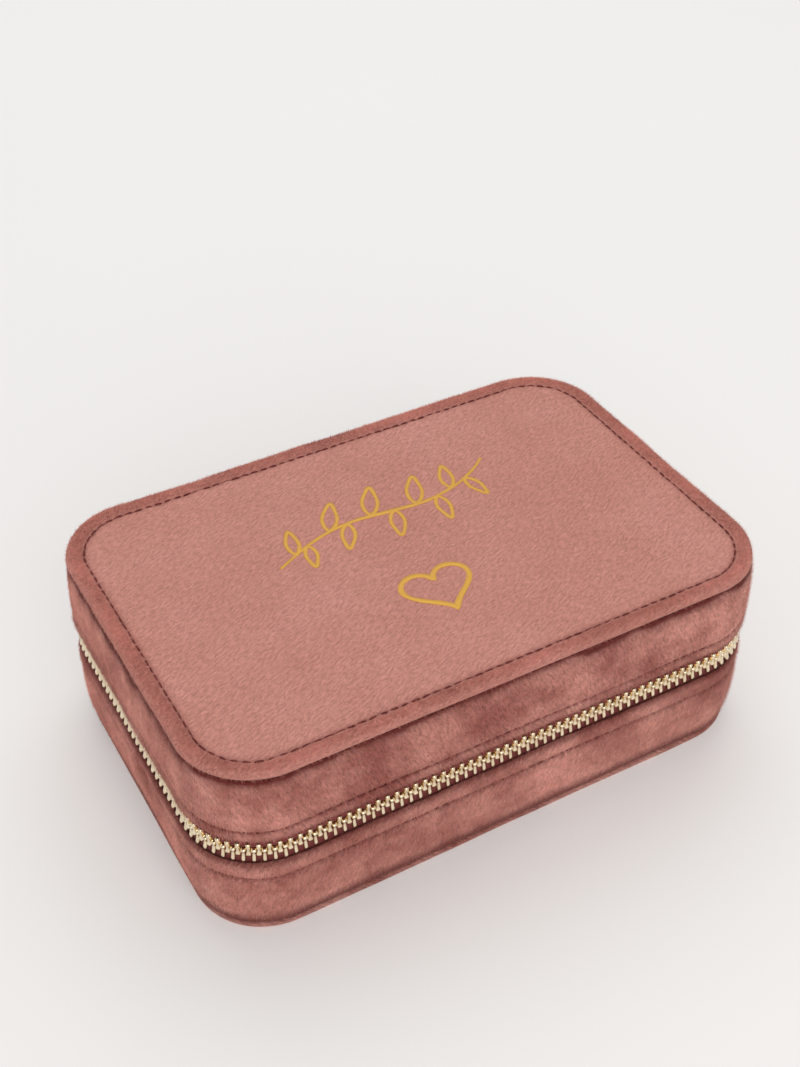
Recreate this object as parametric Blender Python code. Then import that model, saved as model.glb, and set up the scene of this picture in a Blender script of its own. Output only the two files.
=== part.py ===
"""Zip-round travel jewelry case: a velvet box in two halves, joined by a cloth hinge at the back.

Metres, +Z up. The long side runs along X and the front faces -Y. The origin is the middle of the
underside. Every wall layer is a sweep round one rounded rectangle, the case outline, at its own inset.
"""

import math

import bmesh
import bpy
from mathutils import Matrix

# Overall sizes.
CASE_LENGTH = 0.160
CASE_DEPTH = 0.106
CASE_HEIGHT = 0.056
CORNER_RADIUS = 0.020
PARTING_HEIGHT = 0.0299
ZIP_SLOT = 0.0082
GAP = 0.0003
CORNER_STEPS = 6

# Thicknesses of the layers, from outside to inside.
VELVET = 0.0010
TAPE = 0.0006
BOARD = 0.0015
LINING = 0.0010
PADDING = 0.0010

# Rolled edges and tapers of the shell.
BOTTOM_ROLL = 0.0026
BOTTOM_TAPER = 0.0008
TOP_ROLL = 0.0026
TOP_TAPER = 0.0006
TAPER_RISE = 0.008
ROLL_CHAMFER = 0.0009
HEM_CHAMFER = 0.0003

# Zip.
TEETH_PITCH = 0.00254
TOOTH_WIDTH = 0.00095
TEETH_FRONT = 0.0003
TEETH_THICKNESS = 0.0024
CHAIN_HALF = 0.0029
CORD_HEIGHT = 0.0012
TOOTH_REACH = 0.0011
TAPE_WIDTH = 0.0067
TAPE_TUCK = 0.006
PLAIN_TAPE_HALF_GAP = 0.0002
TEETH_SETBACK = 0.0035
LAST_TOOTH_SHARE = 0.38
STOP_LENGTH = 0.0020

# Cloth hinge at the back.
HINGE_INSET = 0.0017
BOARD_FREE_HEIGHT = 0.0055
HINGE_STRIP = 0.0008

# Slider and pull.
SLIDER_LENGTH = 0.0095
SLIDER_HALF_HEIGHT = 0.0037
SLIDER_FRONT = 0.0012
SLIDER_BACK = 0.0007
SLIDER_PARK = 0.006
SLIDER_POST_LENGTH = 0.0014
SLIDER_POST_HEIGHT = 0.0018
BAIL_LENGTH = 0.006
BAIL_WIRE = 0.0009
BAIL_OPENING = 0.00175
LINK_WIRE = 0.0009
LINK_RADIUS = 0.0014
LINK_LENGTH = 0.0045
TAB_LENGTH = 0.0215
TAB_WIDTH = 0.0068
TAB_NECK = 0.0048
TAB_THICKNESS = 0.0012
TAB_EYE = 0.0013

# Inside the base.
RING_ROLLS = 5
RING_ROLL_RADIUS = 0.0074
RING_ROLL_SPACE = 0.0005
DIVIDER_THICKNESS = 0.0020
DIVIDER_HEIGHT = 0.018
DIVIDER_SPACE = 0.0005
DIVIDER_END_SPACE = 0.0020
SHORT_DIVIDER_X = 0.040

# Inside the lid.
POCKET_LENGTH = 0.118
POCKET_DEPTH = 0.052
POCKET_DROP = 0.0060
POCKET_CLOTH = 0.0010
ELASTIC_WIDTH = 0.0026
HOOK_STRIP_LENGTH = 0.100
HOOK_STRIP_WIDTH = 0.009
HOOK_STRIP_THICKNESS = 0.0012
HOOK_SETBACK = 0.010
HOOKS = 3
HOOK_SPACING = 0.030
HOOK_WIDTH = 0.0030
HOOK_DROP = 0.0062
HOOK_REACH = 0.0050
HOOK_WIRE = 0.0012

# Insets of the layers from the case outline.
TAPE_INSET = VELVET + GAP
BOARD_INSET = TAPE_INSET + TAPE + GAP
LINING_INSET = BOARD_INSET + BOARD + GAP
ROOM_INSET = LINING_INSET + LINING
ROOM_X = CASE_LENGTH / 2 - ROOM_INSET
ROOM_Y = CASE_DEPTH / 2 - ROOM_INSET

# Heights that follow from the sizes above.
BASE_RIM = PARTING_HEIGHT - ZIP_SLOT / 2
LID_RIM = PARTING_HEIGHT + ZIP_SLOT / 2
BOTTOM_BOARD_LOW = BOTTOM_ROLL + GAP
BOTTOM_BOARD_TOP = BOTTOM_BOARD_LOW + BOARD
FLOOR_LOW = BOTTOM_BOARD_TOP + GAP
FLOOR_TOP = FLOOR_LOW + LINING
PANEL_LOW = CASE_HEIGHT - TOP_ROLL
PADDING_LOW = PANEL_LOW - GAP - PADDING
LID_BOARD_LOW = PADDING_LOW - GAP - BOARD
CEILING_TOP = LID_BOARD_LOW - GAP
CEILING_LOW = CEILING_TOP - LINING

# Lengths along the case outline, from the middle of the back and clockwise from above.
BACK_HALF = CASE_LENGTH / 2 - CORNER_RADIUS
SIDE_RUN = CASE_DEPTH - 2 * CORNER_RADIUS
FRONT_RUN = CASE_LENGTH - 2 * CORNER_RADIUS
CORNER_RUN = CORNER_RADIUS * math.pi / 2
OUTLINE_RUN = 2 * BACK_HALF + FRONT_RUN + 2 * SIDE_RUN + 4 * CORNER_RUN

# Places of the zip's ends, the hinge and the slider.
RIGHT_SIDE_START = BACK_HALF + CORNER_RUN
FIRST_TOOTH = RIGHT_SIDE_START + TEETH_SETBACK
LAST_TOOTH = OUTLINE_RUN - BACK_HALF - LAST_TOOTH_SHARE * CORNER_RUN
TOOTH_COUNT = math.floor((LAST_TOOTH - FIRST_TOOTH) / TEETH_PITCH)
TOP_STOP = RIGHT_SIDE_START - STOP_LENGTH - 2 * GAP
BOTTOM_STOP = FIRST_TOOTH + (TOOTH_COUNT + 1) * TEETH_PITCH
HINGE_Y = CASE_DEPTH / 2 - HINGE_INSET
HINGE_HALF = BACK_HALF - GAP
SLIDER_Y = CASE_DEPTH / 2 - CORNER_RADIUS - SLIDER_PARK
PLATE_INNER_X = CASE_LENGTH / 2 + GAP - HEM_CHAMFER / 3
PLATE_OUTER_X = PLATE_INNER_X + SLIDER_FRONT
BAIL_X = PLATE_OUTER_X + GAP + BAIL_OPENING
LINK_TOP_Z = PARTING_HEIGHT - (LINK_RADIUS - LINK_WIRE / 2 - BAIL_WIRE / 2 - GAP)
LINK_FOOT_Z = LINK_TOP_Z - LINK_LENGTH - LINK_RADIUS
RING_WALL_X = -ROOM_X + GAP + RING_ROLLS * (2 * RING_ROLL_RADIUS + RING_ROLL_SPACE)


def clear_scene():
    for old in list(bpy.data.objects):
        bpy.data.objects.remove(old, do_unlink=True)


def finish(name, color, roughness, metallic=0.0):
    """A plain material with the part's colour, roughness and metallic value."""
    material = bpy.data.materials.new(name)
    material.use_nodes = True
    shader = material.node_tree.nodes["Principled BSDF"]
    shader.inputs["Base Color"].default_value = (*color, 1.0)
    shader.inputs["Roughness"].default_value = roughness
    shader.inputs["Metallic"].default_value = metallic
    return material


def pivot(name, place, parent=None):
    """An empty on a joint's axis, which carries the pieces that the joint moves."""
    empty = bpy.data.objects.new(name, None)
    bpy.context.scene.collection.objects.link(empty)
    empty.location = place
    if parent is not None:
        empty.parent = parent
        empty.matrix_parent_inverse = Matrix.Translation(parent["place"]).inverted()
    empty["place"] = place
    return empty


def place_mesh(name, mesh, material, carrier=None):
    """Turns a bmesh in world coordinates into a named object that rides on its carrier."""
    bmesh.ops.recalc_face_normals(mesh, faces=mesh.faces[:])
    data = bpy.data.meshes.new(name)
    mesh.to_mesh(data)
    mesh.free()
    data.materials.append(material)
    thing = bpy.data.objects.new(name, data)
    bpy.context.scene.collection.objects.link(thing)
    if carrier is not None:
        thing.parent = carrier
        thing.matrix_parent_inverse = Matrix.Translation(carrier["place"]).inverted()
    return thing


def shade_round(thing):
    thing.data.shade_smooth()
    thing.data.set_sharp_from_angle(angle=math.radians(40))


def soften(thing, width, segments=1):
    bevel = thing.modifiers.new("edges", "BEVEL")
    bevel.width = width
    bevel.segments = segments
    bevel.limit_method = "ANGLE"
    bevel.angle_limit = math.radians(40)


def station(run):
    """The outline's point and outward direction at a length along it from the middle of the back."""
    run = run % OUTLINE_RUN
    east = CASE_LENGTH / 2
    north = CASE_DEPTH / 2
    bend = CORNER_RADIUS
    legs = (
        (BACK_HALF, (0.0, north), 90),
        (SIDE_RUN, (east, north - bend), 0),
        (FRONT_RUN, (east - bend, -north), -90),
        (SIDE_RUN, (-east, bend - north), -180),
        (BACK_HALF, (bend - east, north), -270),
    )
    for length, (x, y), facing in legs:
        out = math.radians(facing)
        nx, ny = math.cos(out), math.sin(out)
        if run <= length:
            return x + ny * run, y - nx * run, nx, ny
        run -= length
        x += ny * length - nx * bend
        y += -nx * length - ny * bend
        if run <= CORNER_RUN:
            turn = out - run / bend
            nx, ny = math.cos(turn), math.sin(turn)
            return x + nx * bend, y + ny * bend, nx, ny
        run -= CORNER_RUN
    return 0.0, north, 0.0, 1.0


def outline_breaks():
    """Lengths along the outline where a straight ends or a corner turns by one step."""
    found = []
    run = 0.0
    for length in (BACK_HALF, SIDE_RUN, FRONT_RUN, SIDE_RUN):
        run += length
        for step in range(CORNER_STEPS + 1):
            found.append(run + CORNER_RUN * step / CORNER_STEPS)
        run += CORNER_RUN
    return found


def runs_between(start, end, extra=()):
    """Stations of a strip that covers only a part of the outline, ends included."""
    turns = outline_breaks()
    turns += [turn - OUTLINE_RUN for turn in turns]
    inner = [turn for turn in sorted([*turns, *extra]) if start + GAP < turn < end - GAP]
    return [start, *inner, end]


def corner_points(mesh, run, profile):
    x, y, nx, ny = station(run)
    return [mesh.verts.new((x - nx * inset, y - ny * inset, z)) for inset, z in profile]


def band(name, profile, material, carrier=None, span=None):
    """Sweeps a closed profile of (inset, height) points round the outline, or along a span of it."""
    runs = outline_breaks() if span is None else runs_between(*span)
    return sweep(name, [(run, profile) for run in runs], material, carrier, span is None)


def sweep(name, sections, material, carrier, closed):
    """Joins closed profiles that stand at given lengths along the outline."""
    mesh = bmesh.new()
    rings = [corner_points(mesh, run, profile) for run, profile in sections]
    pairs = list(zip(rings, rings[1:]))
    if closed:
        pairs.append((rings[-1], rings[0]))
    else:
        mesh.faces.new(rings[0])
        mesh.faces.new(rings[-1])
    for near, far in pairs:
        for index in range(len(near)):
            after = (index + 1) % len(near)
            mesh.faces.new((near[index], near[after], far[after], far[index]))
    thing = place_mesh(name, mesh, material, carrier)
    shade_round(thing)
    return thing


def slab(name, levels, material, carrier=None):
    """Stacks whole outlines at (inset, height) levels and closes the first and the last one."""
    mesh = bmesh.new()
    rings = []
    for level in levels:
        rings.append([corner_points(mesh, run, [level])[0] for run in outline_breaks()])
    mesh.faces.new(rings[0])
    mesh.faces.new(rings[-1])
    for low, high in zip(rings, rings[1:]):
        for index in range(len(low)):
            after = (index + 1) % len(low)
            mesh.faces.new((low[index], low[after], high[after], high[index]))
    thing = place_mesh(name, mesh, material, carrier)
    shade_round(thing)
    return thing


def block(name, low, high, material, carrier=None, edge=0.0):
    """A box between two corners, with a small chamfer where an edge width is given."""
    mesh = bmesh.new()
    size = [top - bottom for bottom, top in zip(low, high)]
    middle = [(top + bottom) / 2 for bottom, top in zip(low, high)]
    shape = Matrix.Translation(middle) @ Matrix.Diagonal((*size, 1.0))
    bmesh.ops.create_cube(mesh, size=1.0, matrix=shape)
    thing = place_mesh(name, mesh, material, carrier)
    if edge:
        soften(thing, edge)
    return thing


def prism(name, outline, start, thickness, place, material, carrier=None):
    """Extrudes an outline through a thickness; place turns (u, v, depth) into world coordinates."""
    mesh = bmesh.new()
    near = [mesh.verts.new(place(u, v, start)) for u, v in outline]
    far = [mesh.verts.new(place(u, v, start + thickness)) for u, v in outline]
    mesh.faces.new(near)
    mesh.faces.new(far)
    for index in range(len(outline)):
        after = (index + 1) % len(outline)
        mesh.faces.new((near[index], near[after], far[after], far[index]))
    return place_mesh(name, mesh, material, carrier)


def combine(thing, tool, operation):
    """Keeps a Boolean on a piece and hides the shape that it uses."""
    tool.hide_render = True
    tool.display_type = "WIRE"
    change = thing.modifiers.new(operation.lower(), "BOOLEAN")
    change.operation = operation
    change.solver = "EXACT"
    change.object = tool


def arc(center_u, center_v, radius, first, last, steps):
    """Points on an arc from one angle to another, in degrees."""
    found = []
    for step in range(steps + 1):
        angle = math.radians(first + (last - first) * step / steps)
        found.append((center_u + radius * math.cos(angle), center_v + radius * math.sin(angle)))
    return found


def make_base_shell(velvet, card):
    slab(
        "base_bottom_panel",
        [
            (BOTTOM_TAPER + ROLL_CHAMFER, 0.0),
            (BOTTOM_TAPER, ROLL_CHAMFER),
            (BOTTOM_TAPER, BOTTOM_ROLL - ROLL_CHAMFER),
            (BOTTOM_TAPER + ROLL_CHAMFER, BOTTOM_ROLL),
        ],
        velvet,
    )
    seam = BOTTOM_ROLL + GAP
    band(
        "base_side_band",
        [
            (BOTTOM_TAPER, seam),
            (0.0, seam + TAPER_RISE),
            (0.0, BASE_RIM - 2 * HEM_CHAMFER),
            (HEM_CHAMFER, BASE_RIM),
            (VELVET, BASE_RIM),
            (VELVET, seam + TAPER_RISE),
            (BOTTOM_TAPER + VELVET, seam),
        ],
        velvet,
    )
    levels = [(BOARD_INSET, BOTTOM_BOARD_LOW), (BOARD_INSET, BOTTOM_BOARD_TOP)]
    slab("base_bottom_board", levels, card)
    make_wall_board("base_wall_board", FLOOR_LOW, PARTING_HEIGHT - BOARD_FREE_HEIGHT, card)


def make_wall_board(name, low, high, card, carrier=None):
    profile = [
        (BOARD_INSET, low),
        (BOARD_INSET, high),
        (BOARD_INSET + BOARD, high),
        (BOARD_INSET + BOARD, low),
    ]
    band(name, profile, card, carrier)


def make_lid_shell(velvet, card, foam, lid):
    slab(
        "lid_top_panel",
        [
            (TOP_TAPER + ROLL_CHAMFER, PANEL_LOW),
            (TOP_TAPER, PANEL_LOW + ROLL_CHAMFER),
            (TOP_TAPER, CASE_HEIGHT - ROLL_CHAMFER),
            (TOP_TAPER + ROLL_CHAMFER, CASE_HEIGHT),
        ],
        velvet,
        lid,
    )
    seam = PANEL_LOW - GAP
    band(
        "lid_side_band",
        [
            (TOP_TAPER, seam),
            (0.0, seam - TAPER_RISE),
            (0.0, LID_RIM + 2 * HEM_CHAMFER),
            (HEM_CHAMFER, LID_RIM),
            (VELVET, LID_RIM),
            (VELVET, seam - TAPER_RISE),
            (TOP_TAPER + VELVET, seam),
        ],
        velvet,
        lid,
    )
    levels = [(BOARD_INSET, PADDING_LOW), (BOARD_INSET, PADDING_LOW + PADDING)]
    slab("lid_padding", levels, foam, lid)
    levels = [(BOARD_INSET, LID_BOARD_LOW), (BOARD_INSET, LID_BOARD_LOW + BOARD)]
    slab("lid_top_board", levels, card, lid)
    make_wall_board("lid_wall_board", PARTING_HEIGHT + BOARD_FREE_HEIGHT, CEILING_TOP, card, lid)


def make_lining(name, closed_at, inner_face, rim, material, carrier=None):
    """A tray of lining cloth: walls that end at the rim, and a floor or a ceiling."""
    levels = [
        (LINING_INSET, closed_at),
        (LINING_INSET, rim),
        (ROOM_INSET, rim),
        (ROOM_INSET, inner_face),
    ]
    slab(name, levels, material, carrier)


def tape_edge(run):
    """How far a tape's edge stands from the parting: clear of the teeth, or almost shut beyond them."""
    toothed = TOP_STOP - 2 * GAP < run < BOTTOM_STOP + STOP_LENGTH + 2 * GAP
    at_hinge = run < BACK_HALF + GAP or run > OUTLINE_RUN - BACK_HALF - GAP
    return CHAIN_HALF + GAP if toothed or at_hinge else PLAIN_TAPE_HALF_GAP


def make_tape(name, side, material, carrier=None):
    """One half of the zip tape. side is -1 for the lower half and 1 for the upper half."""
    inner = TAPE_INSET + TAPE
    start = HINGE_HALF - TAPE_TUCK
    hidden = PARTING_HEIGHT + side * (CHAIN_HALF + GAP + TAPE_WIDTH)
    toothed_ends = (TOP_STOP - GAP, BOTTOM_STOP + STOP_LENGTH + GAP)
    sections = []
    for run in runs_between(start, OUTLINE_RUN - start, toothed_ends):
        edge = PARTING_HEIGHT + side * tape_edge(run)
        profile = [(TAPE_INSET, edge), (TAPE_INSET, hidden), (inner, hidden), (inner, edge)]
        sections.append((run, profile))
    sweep(name, sections, material, carrier, False)


def make_teeth(name, first, side, material, carrier=None):
    """One row of teeth on its cord. side is -1 for the lower row and 1 for the upper row."""
    mesh = bmesh.new()
    edge = PARTING_HEIGHT + side * CHAIN_HALF
    root = edge - side * CORD_HEIGHT
    tip = PARTING_HEIGHT - side * TOOTH_REACH
    back = TEETH_FRONT + TEETH_THICKNESS
    profile = [(inset, z) for z in (edge, root, tip) for inset in (TEETH_FRONT, back)]
    cuts = []
    for tooth in range(TOOTH_COUNT):
        begin = first + tooth * TEETH_PITCH
        cuts.append(corner_points(mesh, begin, profile))
        cuts.append(corner_points(mesh, begin + TOOTH_WIDTH, profile))
    for index, (near, far) in enumerate(zip(cuts, cuts[1:])):
        on_tooth = index % 2 == 0
        upper = 4 if on_tooth else 2
        for level in range(0, upper, 2):
            for depth in (0, 1):
                row = level + depth
                mesh.faces.new((near[row], far[row], far[row + 2], near[row + 2]))
        mesh.faces.new((near[0], near[1], far[1], far[0]))
        mesh.faces.new((near[upper], near[upper + 1], far[upper + 1], far[upper]))
    for cut in cuts:
        mesh.faces.new((cut[2], cut[3], cut[5], cut[4]))
    for cut in (cuts[0], cuts[-1]):
        mesh.faces.new((cut[0], cut[1], cut[3], cut[2]))
    place_mesh(name, mesh, material, carrier)


def make_stop(name, run, low, high, material, carrier=None):
    back = TEETH_FRONT + TEETH_THICKNESS
    profile = [(TEETH_FRONT, low), (TEETH_FRONT, high), (back, high), (back, low)]
    band(name, profile, material, carrier, (run, run + STOP_LENGTH))


def make_zip(tape_cloth, gold, lid):
    make_tape("base_zip_tape", -1, tape_cloth)
    make_tape("lid_zip_tape", 1, tape_cloth, lid)
    make_teeth("base_zip_teeth", FIRST_TOOTH, -1, gold)
    make_teeth("lid_zip_teeth", FIRST_TOOTH + TEETH_PITCH / 2, 1, gold, lid)
    low = PARTING_HEIGHT - CHAIN_HALF
    high = PARTING_HEIGHT + CHAIN_HALF
    make_stop("base_top_stop", TOP_STOP, low, low + CORD_HEIGHT, gold)
    make_stop("lid_top_stop", TOP_STOP, high - CORD_HEIGHT, high, gold, lid)
    make_stop("zip_bottom_stop", BOTTOM_STOP, low + CORD_HEIGHT, high - CORD_HEIGHT, gold)


def make_hinge(velvet, lining):
    low = BASE_RIM + GAP
    high = LID_RIM - GAP
    profile = [(0.0, low), (0.0, high), (VELVET, high), (VELVET, low)]
    band("hinge_gusset", profile, velvet, None, (-HINGE_HALF, HINGE_HALF))
    low = PARTING_HEIGHT - BOARD_FREE_HEIGHT + GAP
    high = PARTING_HEIGHT + BOARD_FREE_HEIGHT - GAP
    inner = BOARD_INSET + HINGE_STRIP
    profile = [(BOARD_INSET, low), (BOARD_INSET, high), (inner, high), (inner, low)]
    band("hinge_strip", profile, lining, None, (-HINGE_HALF, HINGE_HALF))


def make_slider(gold, slider):
    """Two plates, in front of the teeth and behind them, joined by the post that parts the rows."""
    half_y = SLIDER_LENGTH / 2
    low_z = PARTING_HEIGHT - SLIDER_HALF_HEIGHT
    high_z = PARTING_HEIGHT + SLIDER_HALF_HEIGHT
    back_x = CASE_LENGTH / 2 - TEETH_FRONT - TEETH_THICKNESS - GAP
    post_start = SLIDER_Y + half_y - SLIDER_POST_LENGTH
    half_post = SLIDER_POST_HEIGHT / 2
    body = block(
        "zip_slider_body",
        (PLATE_INNER_X, SLIDER_Y - half_y, low_z),
        (PLATE_OUTER_X, SLIDER_Y + half_y, high_z),
        gold,
        slider,
        SLIDER_FRONT / 3,
    )
    back = block(
        "slider_back_plate_shape",
        (back_x - SLIDER_BACK, SLIDER_Y - half_y, low_z),
        (back_x, SLIDER_Y + half_y, high_z),
        gold,
        slider,
    )
    post = block(
        "slider_post_shape",
        (back_x - SLIDER_BACK / 2, post_start, PARTING_HEIGHT - half_post),
        (PLATE_INNER_X + SLIDER_FRONT / 2, SLIDER_Y + half_y - GAP, PARTING_HEIGHT + half_post),
        gold,
        slider,
    )
    combine(body, post, "UNION")
    combine(body, back, "UNION")


def make_bail(gold, slider):
    """The arch on the front plate, which the link hangs on."""
    half = BAIL_LENGTH / 2
    foot = PLATE_OUTER_X + GAP
    outer = BAIL_X + BAIL_WIRE / 2
    inner = BAIL_X - BAIL_WIRE / 2
    outline = [
        (foot, -half),
        (outer, -half),
        (outer, half),
        (foot, half),
        (foot, half - BAIL_WIRE),
        (inner, half - BAIL_WIRE),
        (inner, BAIL_WIRE - half),
        (foot, BAIL_WIRE - half),
    ]

    def place(u, v, depth):
        return u, SLIDER_Y + v, PARTING_HEIGHT + depth

    bail = prism("zip_slider_bail", outline, -BAIL_WIRE / 2, BAIL_WIRE, place, gold, slider)
    soften(bail, BAIL_WIRE / 5)


def make_link(gold, carrier):
    """A closed wire loop round the bail's bar, with two straight legs."""
    mesh = bmesh.new()
    top = arc(BAIL_X, LINK_TOP_Z, LINK_RADIUS, 180, 0, 6)
    foot = arc(BAIL_X, LINK_TOP_Z - LINK_LENGTH, LINK_RADIUS, 0, -180, 6)
    centers = [(BAIL_X, LINK_TOP_Z)] * len(top)
    centers += [(BAIL_X, LINK_TOP_Z - LINK_LENGTH)] * len(foot)
    sides = 8
    rings = []
    for (u, v), (cu, cv) in zip(top + foot, centers):
        out_u = (u - cu) / LINK_RADIUS
        out_v = (v - cv) / LINK_RADIUS
        ring = []
        for side in range(sides):
            angle = 2 * math.pi * (side + 0.5) / sides
            out = math.cos(angle) * LINK_WIRE / 2
            across = math.sin(angle) * LINK_WIRE / 2
            ring.append(mesh.verts.new((u + out_u * out, SLIDER_Y + across, v + out_v * out)))
        rings.append(ring)
    for near, far in zip(rings, rings[1:] + rings[:1]):
        for side in range(sides):
            after = (side + 1) % sides
            mesh.faces.new((near[side], near[after], far[after], far[side]))
    shade_round(place_mesh("zip_pull_link", mesh, gold, carrier))


def make_tab(gold, carrier):
    """The flat tab that hangs on the link by the eye in its neck."""
    eye_z = LINK_FOOT_Z + LINK_WIRE / 2 + GAP - TAB_EYE
    neck = TAB_NECK / 2
    half = TAB_WIDTH / 2
    foot_v = neck + half - TAB_LENGTH
    outline = arc(0.0, 0.0, neck, 180, 0, 6)
    outline += [(half, -TAB_WIDTH)]
    outline += arc(0.0, foot_v, half, 0, -180, 6)
    outline += [(-half, -TAB_WIDTH)]

    def place(u, v, depth):
        return BAIL_X + depth, SLIDER_Y + u, eye_z + v

    start = -TAB_THICKNESS / 2
    tab = prism("zip_pull_tab", outline, start, TAB_THICKNESS, place, gold, carrier)
    soften(tab, TAB_THICKNESS / 5)
    eye_outline = arc(0.0, 0.0, TAB_EYE, 0, 330, 11)
    eye = prism(
        "tab_eye_cutter", eye_outline, -TAB_THICKNESS, 2 * TAB_THICKNESS, place, gold, carrier
    )
    combine(tab, eye, "DIFFERENCE")


def ring_roll_half_length(x):
    """How far a round-ended roll reaches each way before it meets a wall or a rounded corner."""
    corner = CORNER_RADIUS - ROOM_INSET
    room = corner - RING_ROLL_RADIUS - RING_ROLL_SPACE
    past = max(0.0, abs(x) - (ROOM_X - corner))
    reach = math.sqrt(max(0.0, room * room - past * past))
    return ROOM_Y - corner + reach + RING_ROLL_RADIUS


def make_ring_rolls(plush):
    """Round-ended rolls side by side, which hold rings between them."""
    sides = 12
    height = FLOOR_TOP + GAP + RING_ROLL_RADIUS
    for roll in range(RING_ROLLS):
        pitch = 2 * RING_ROLL_RADIUS + RING_ROLL_SPACE
        x = -ROOM_X + GAP + RING_ROLL_RADIUS + roll * pitch
        straight = ring_roll_half_length(x) - RING_ROLL_RADIUS
        mesh = bmesh.new()
        rings = []
        for end, slants in ((-1, (70, 35, 0)), (1, (0, 35, 70))):
            for slant in slants:
                lean = math.radians(slant)
                y = end * (straight + RING_ROLL_RADIUS * math.sin(lean))
                around = []
                for u, v in arc(x, height, RING_ROLL_RADIUS * math.cos(lean), 0, 330, sides - 1):
                    around.append(mesh.verts.new((u, y, v)))
                rings.append(around)
        mesh.faces.new(rings[0])
        mesh.faces.new(rings[-1])
        for near, far in zip(rings, rings[1:]):
            for side in range(sides):
                after = (side + 1) % sides
                mesh.faces.new((near[side], near[after], far[after], far[side]))
        shade_round(place_mesh(f"ring_roll_{roll + 1}", mesh, plush))


def make_dividers(plush, long_carrier, short_carrier):
    """A fixed wall beside the rolls, and two loose walls that lift out."""
    low = FLOOR_TOP + GAP
    high = low + DIVIDER_HEIGHT
    half = DIVIDER_THICKNESS / 2
    edge = DIVIDER_THICKNESS / 5
    wall_end = RING_WALL_X + DIVIDER_THICKNESS
    reach = ROOM_Y - GAP
    block("fixed_divider", (RING_WALL_X, -reach, low), (wall_end, reach, high), plush, None, edge)
    start = wall_end + DIVIDER_SPACE
    end = ROOM_X - DIVIDER_END_SPACE
    block(
        "removable_divider_long", (start, -half, low), (end, half, high), plush, long_carrier, edge
    )
    front = DIVIDER_END_SPACE - ROOM_Y
    back = -half - DIVIDER_SPACE
    low_corner = (SHORT_DIVIDER_X - half, front, low)
    high_corner = (SHORT_DIVIDER_X + half, back, high)
    block("removable_divider_short", low_corner, high_corner, plush, short_carrier, edge)


def make_pocket(lining, elastic, lid):
    """A shallow cloth pocket under the lid's ceiling, open towards the front, with an elastic edge."""
    half = POCKET_LENGTH / 2
    back = ROOM_Y - 2 * GAP
    mouth = back - POCKET_DEPTH
    top = CEILING_LOW - GAP
    bottom = top - POCKET_DROP
    pocket = block("lid_pocket", (-half, mouth, bottom), (half, back, top), lining, lid)
    inside = block(
        "pocket_room_cutter",
        (POCKET_CLOTH - half, mouth - POCKET_CLOTH, bottom + POCKET_CLOTH),
        (half - POCKET_CLOTH, back - POCKET_CLOTH, top + POCKET_CLOTH),
        lining,
        lid,
    )
    combine(pocket, inside, "DIFFERENCE")
    edge_back = mouth - GAP
    low = (-half, edge_back - ELASTIC_WIDTH, bottom - POCKET_CLOTH / 2)
    high = (half, edge_back, bottom + POCKET_CLOTH)
    block("lid_pocket_elastic", low, high, elastic, lid, POCKET_CLOTH / 3)


def make_hooks(leather, gold, lid):
    """A strip under the ceiling near the front, with hooks whose tips point to the front."""
    top = CEILING_LOW - GAP
    front = HOOK_SETBACK - ROOM_Y
    half = HOOK_STRIP_LENGTH / 2
    low = (-half, front, top - HOOK_STRIP_THICKNESS)
    high = (half, front + HOOK_STRIP_WIDTH, top)
    block("necklace_hook_strip", low, high, leather, lid, HOOK_STRIP_THICKNESS / 4)
    shank = front + HOOK_STRIP_WIDTH / 2
    head = top - HOOK_STRIP_THICKNESS - GAP
    foot = head - HOOK_DROP
    tip = shank - HOOK_REACH
    outline = [
        (shank, head),
        (shank + HOOK_WIRE, head),
        (shank + HOOK_WIRE, foot),
        (tip, foot),
        (tip, foot + 2 * HOOK_WIRE),
        (tip + HOOK_WIRE, foot + 2 * HOOK_WIRE),
        (tip + HOOK_WIRE, foot + HOOK_WIRE),
        (shank, foot + HOOK_WIRE),
    ]
    for hook in range(HOOKS):
        middle = (hook - (HOOKS - 1) / 2) * HOOK_SPACING

        def place(u, v, depth, middle=middle):
            return middle + depth, u, v

        name = f"necklace_hook_{hook + 1}"
        prism(name, outline, -HOOK_WIDTH / 2, HOOK_WIDTH, place, gold, lid)


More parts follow.
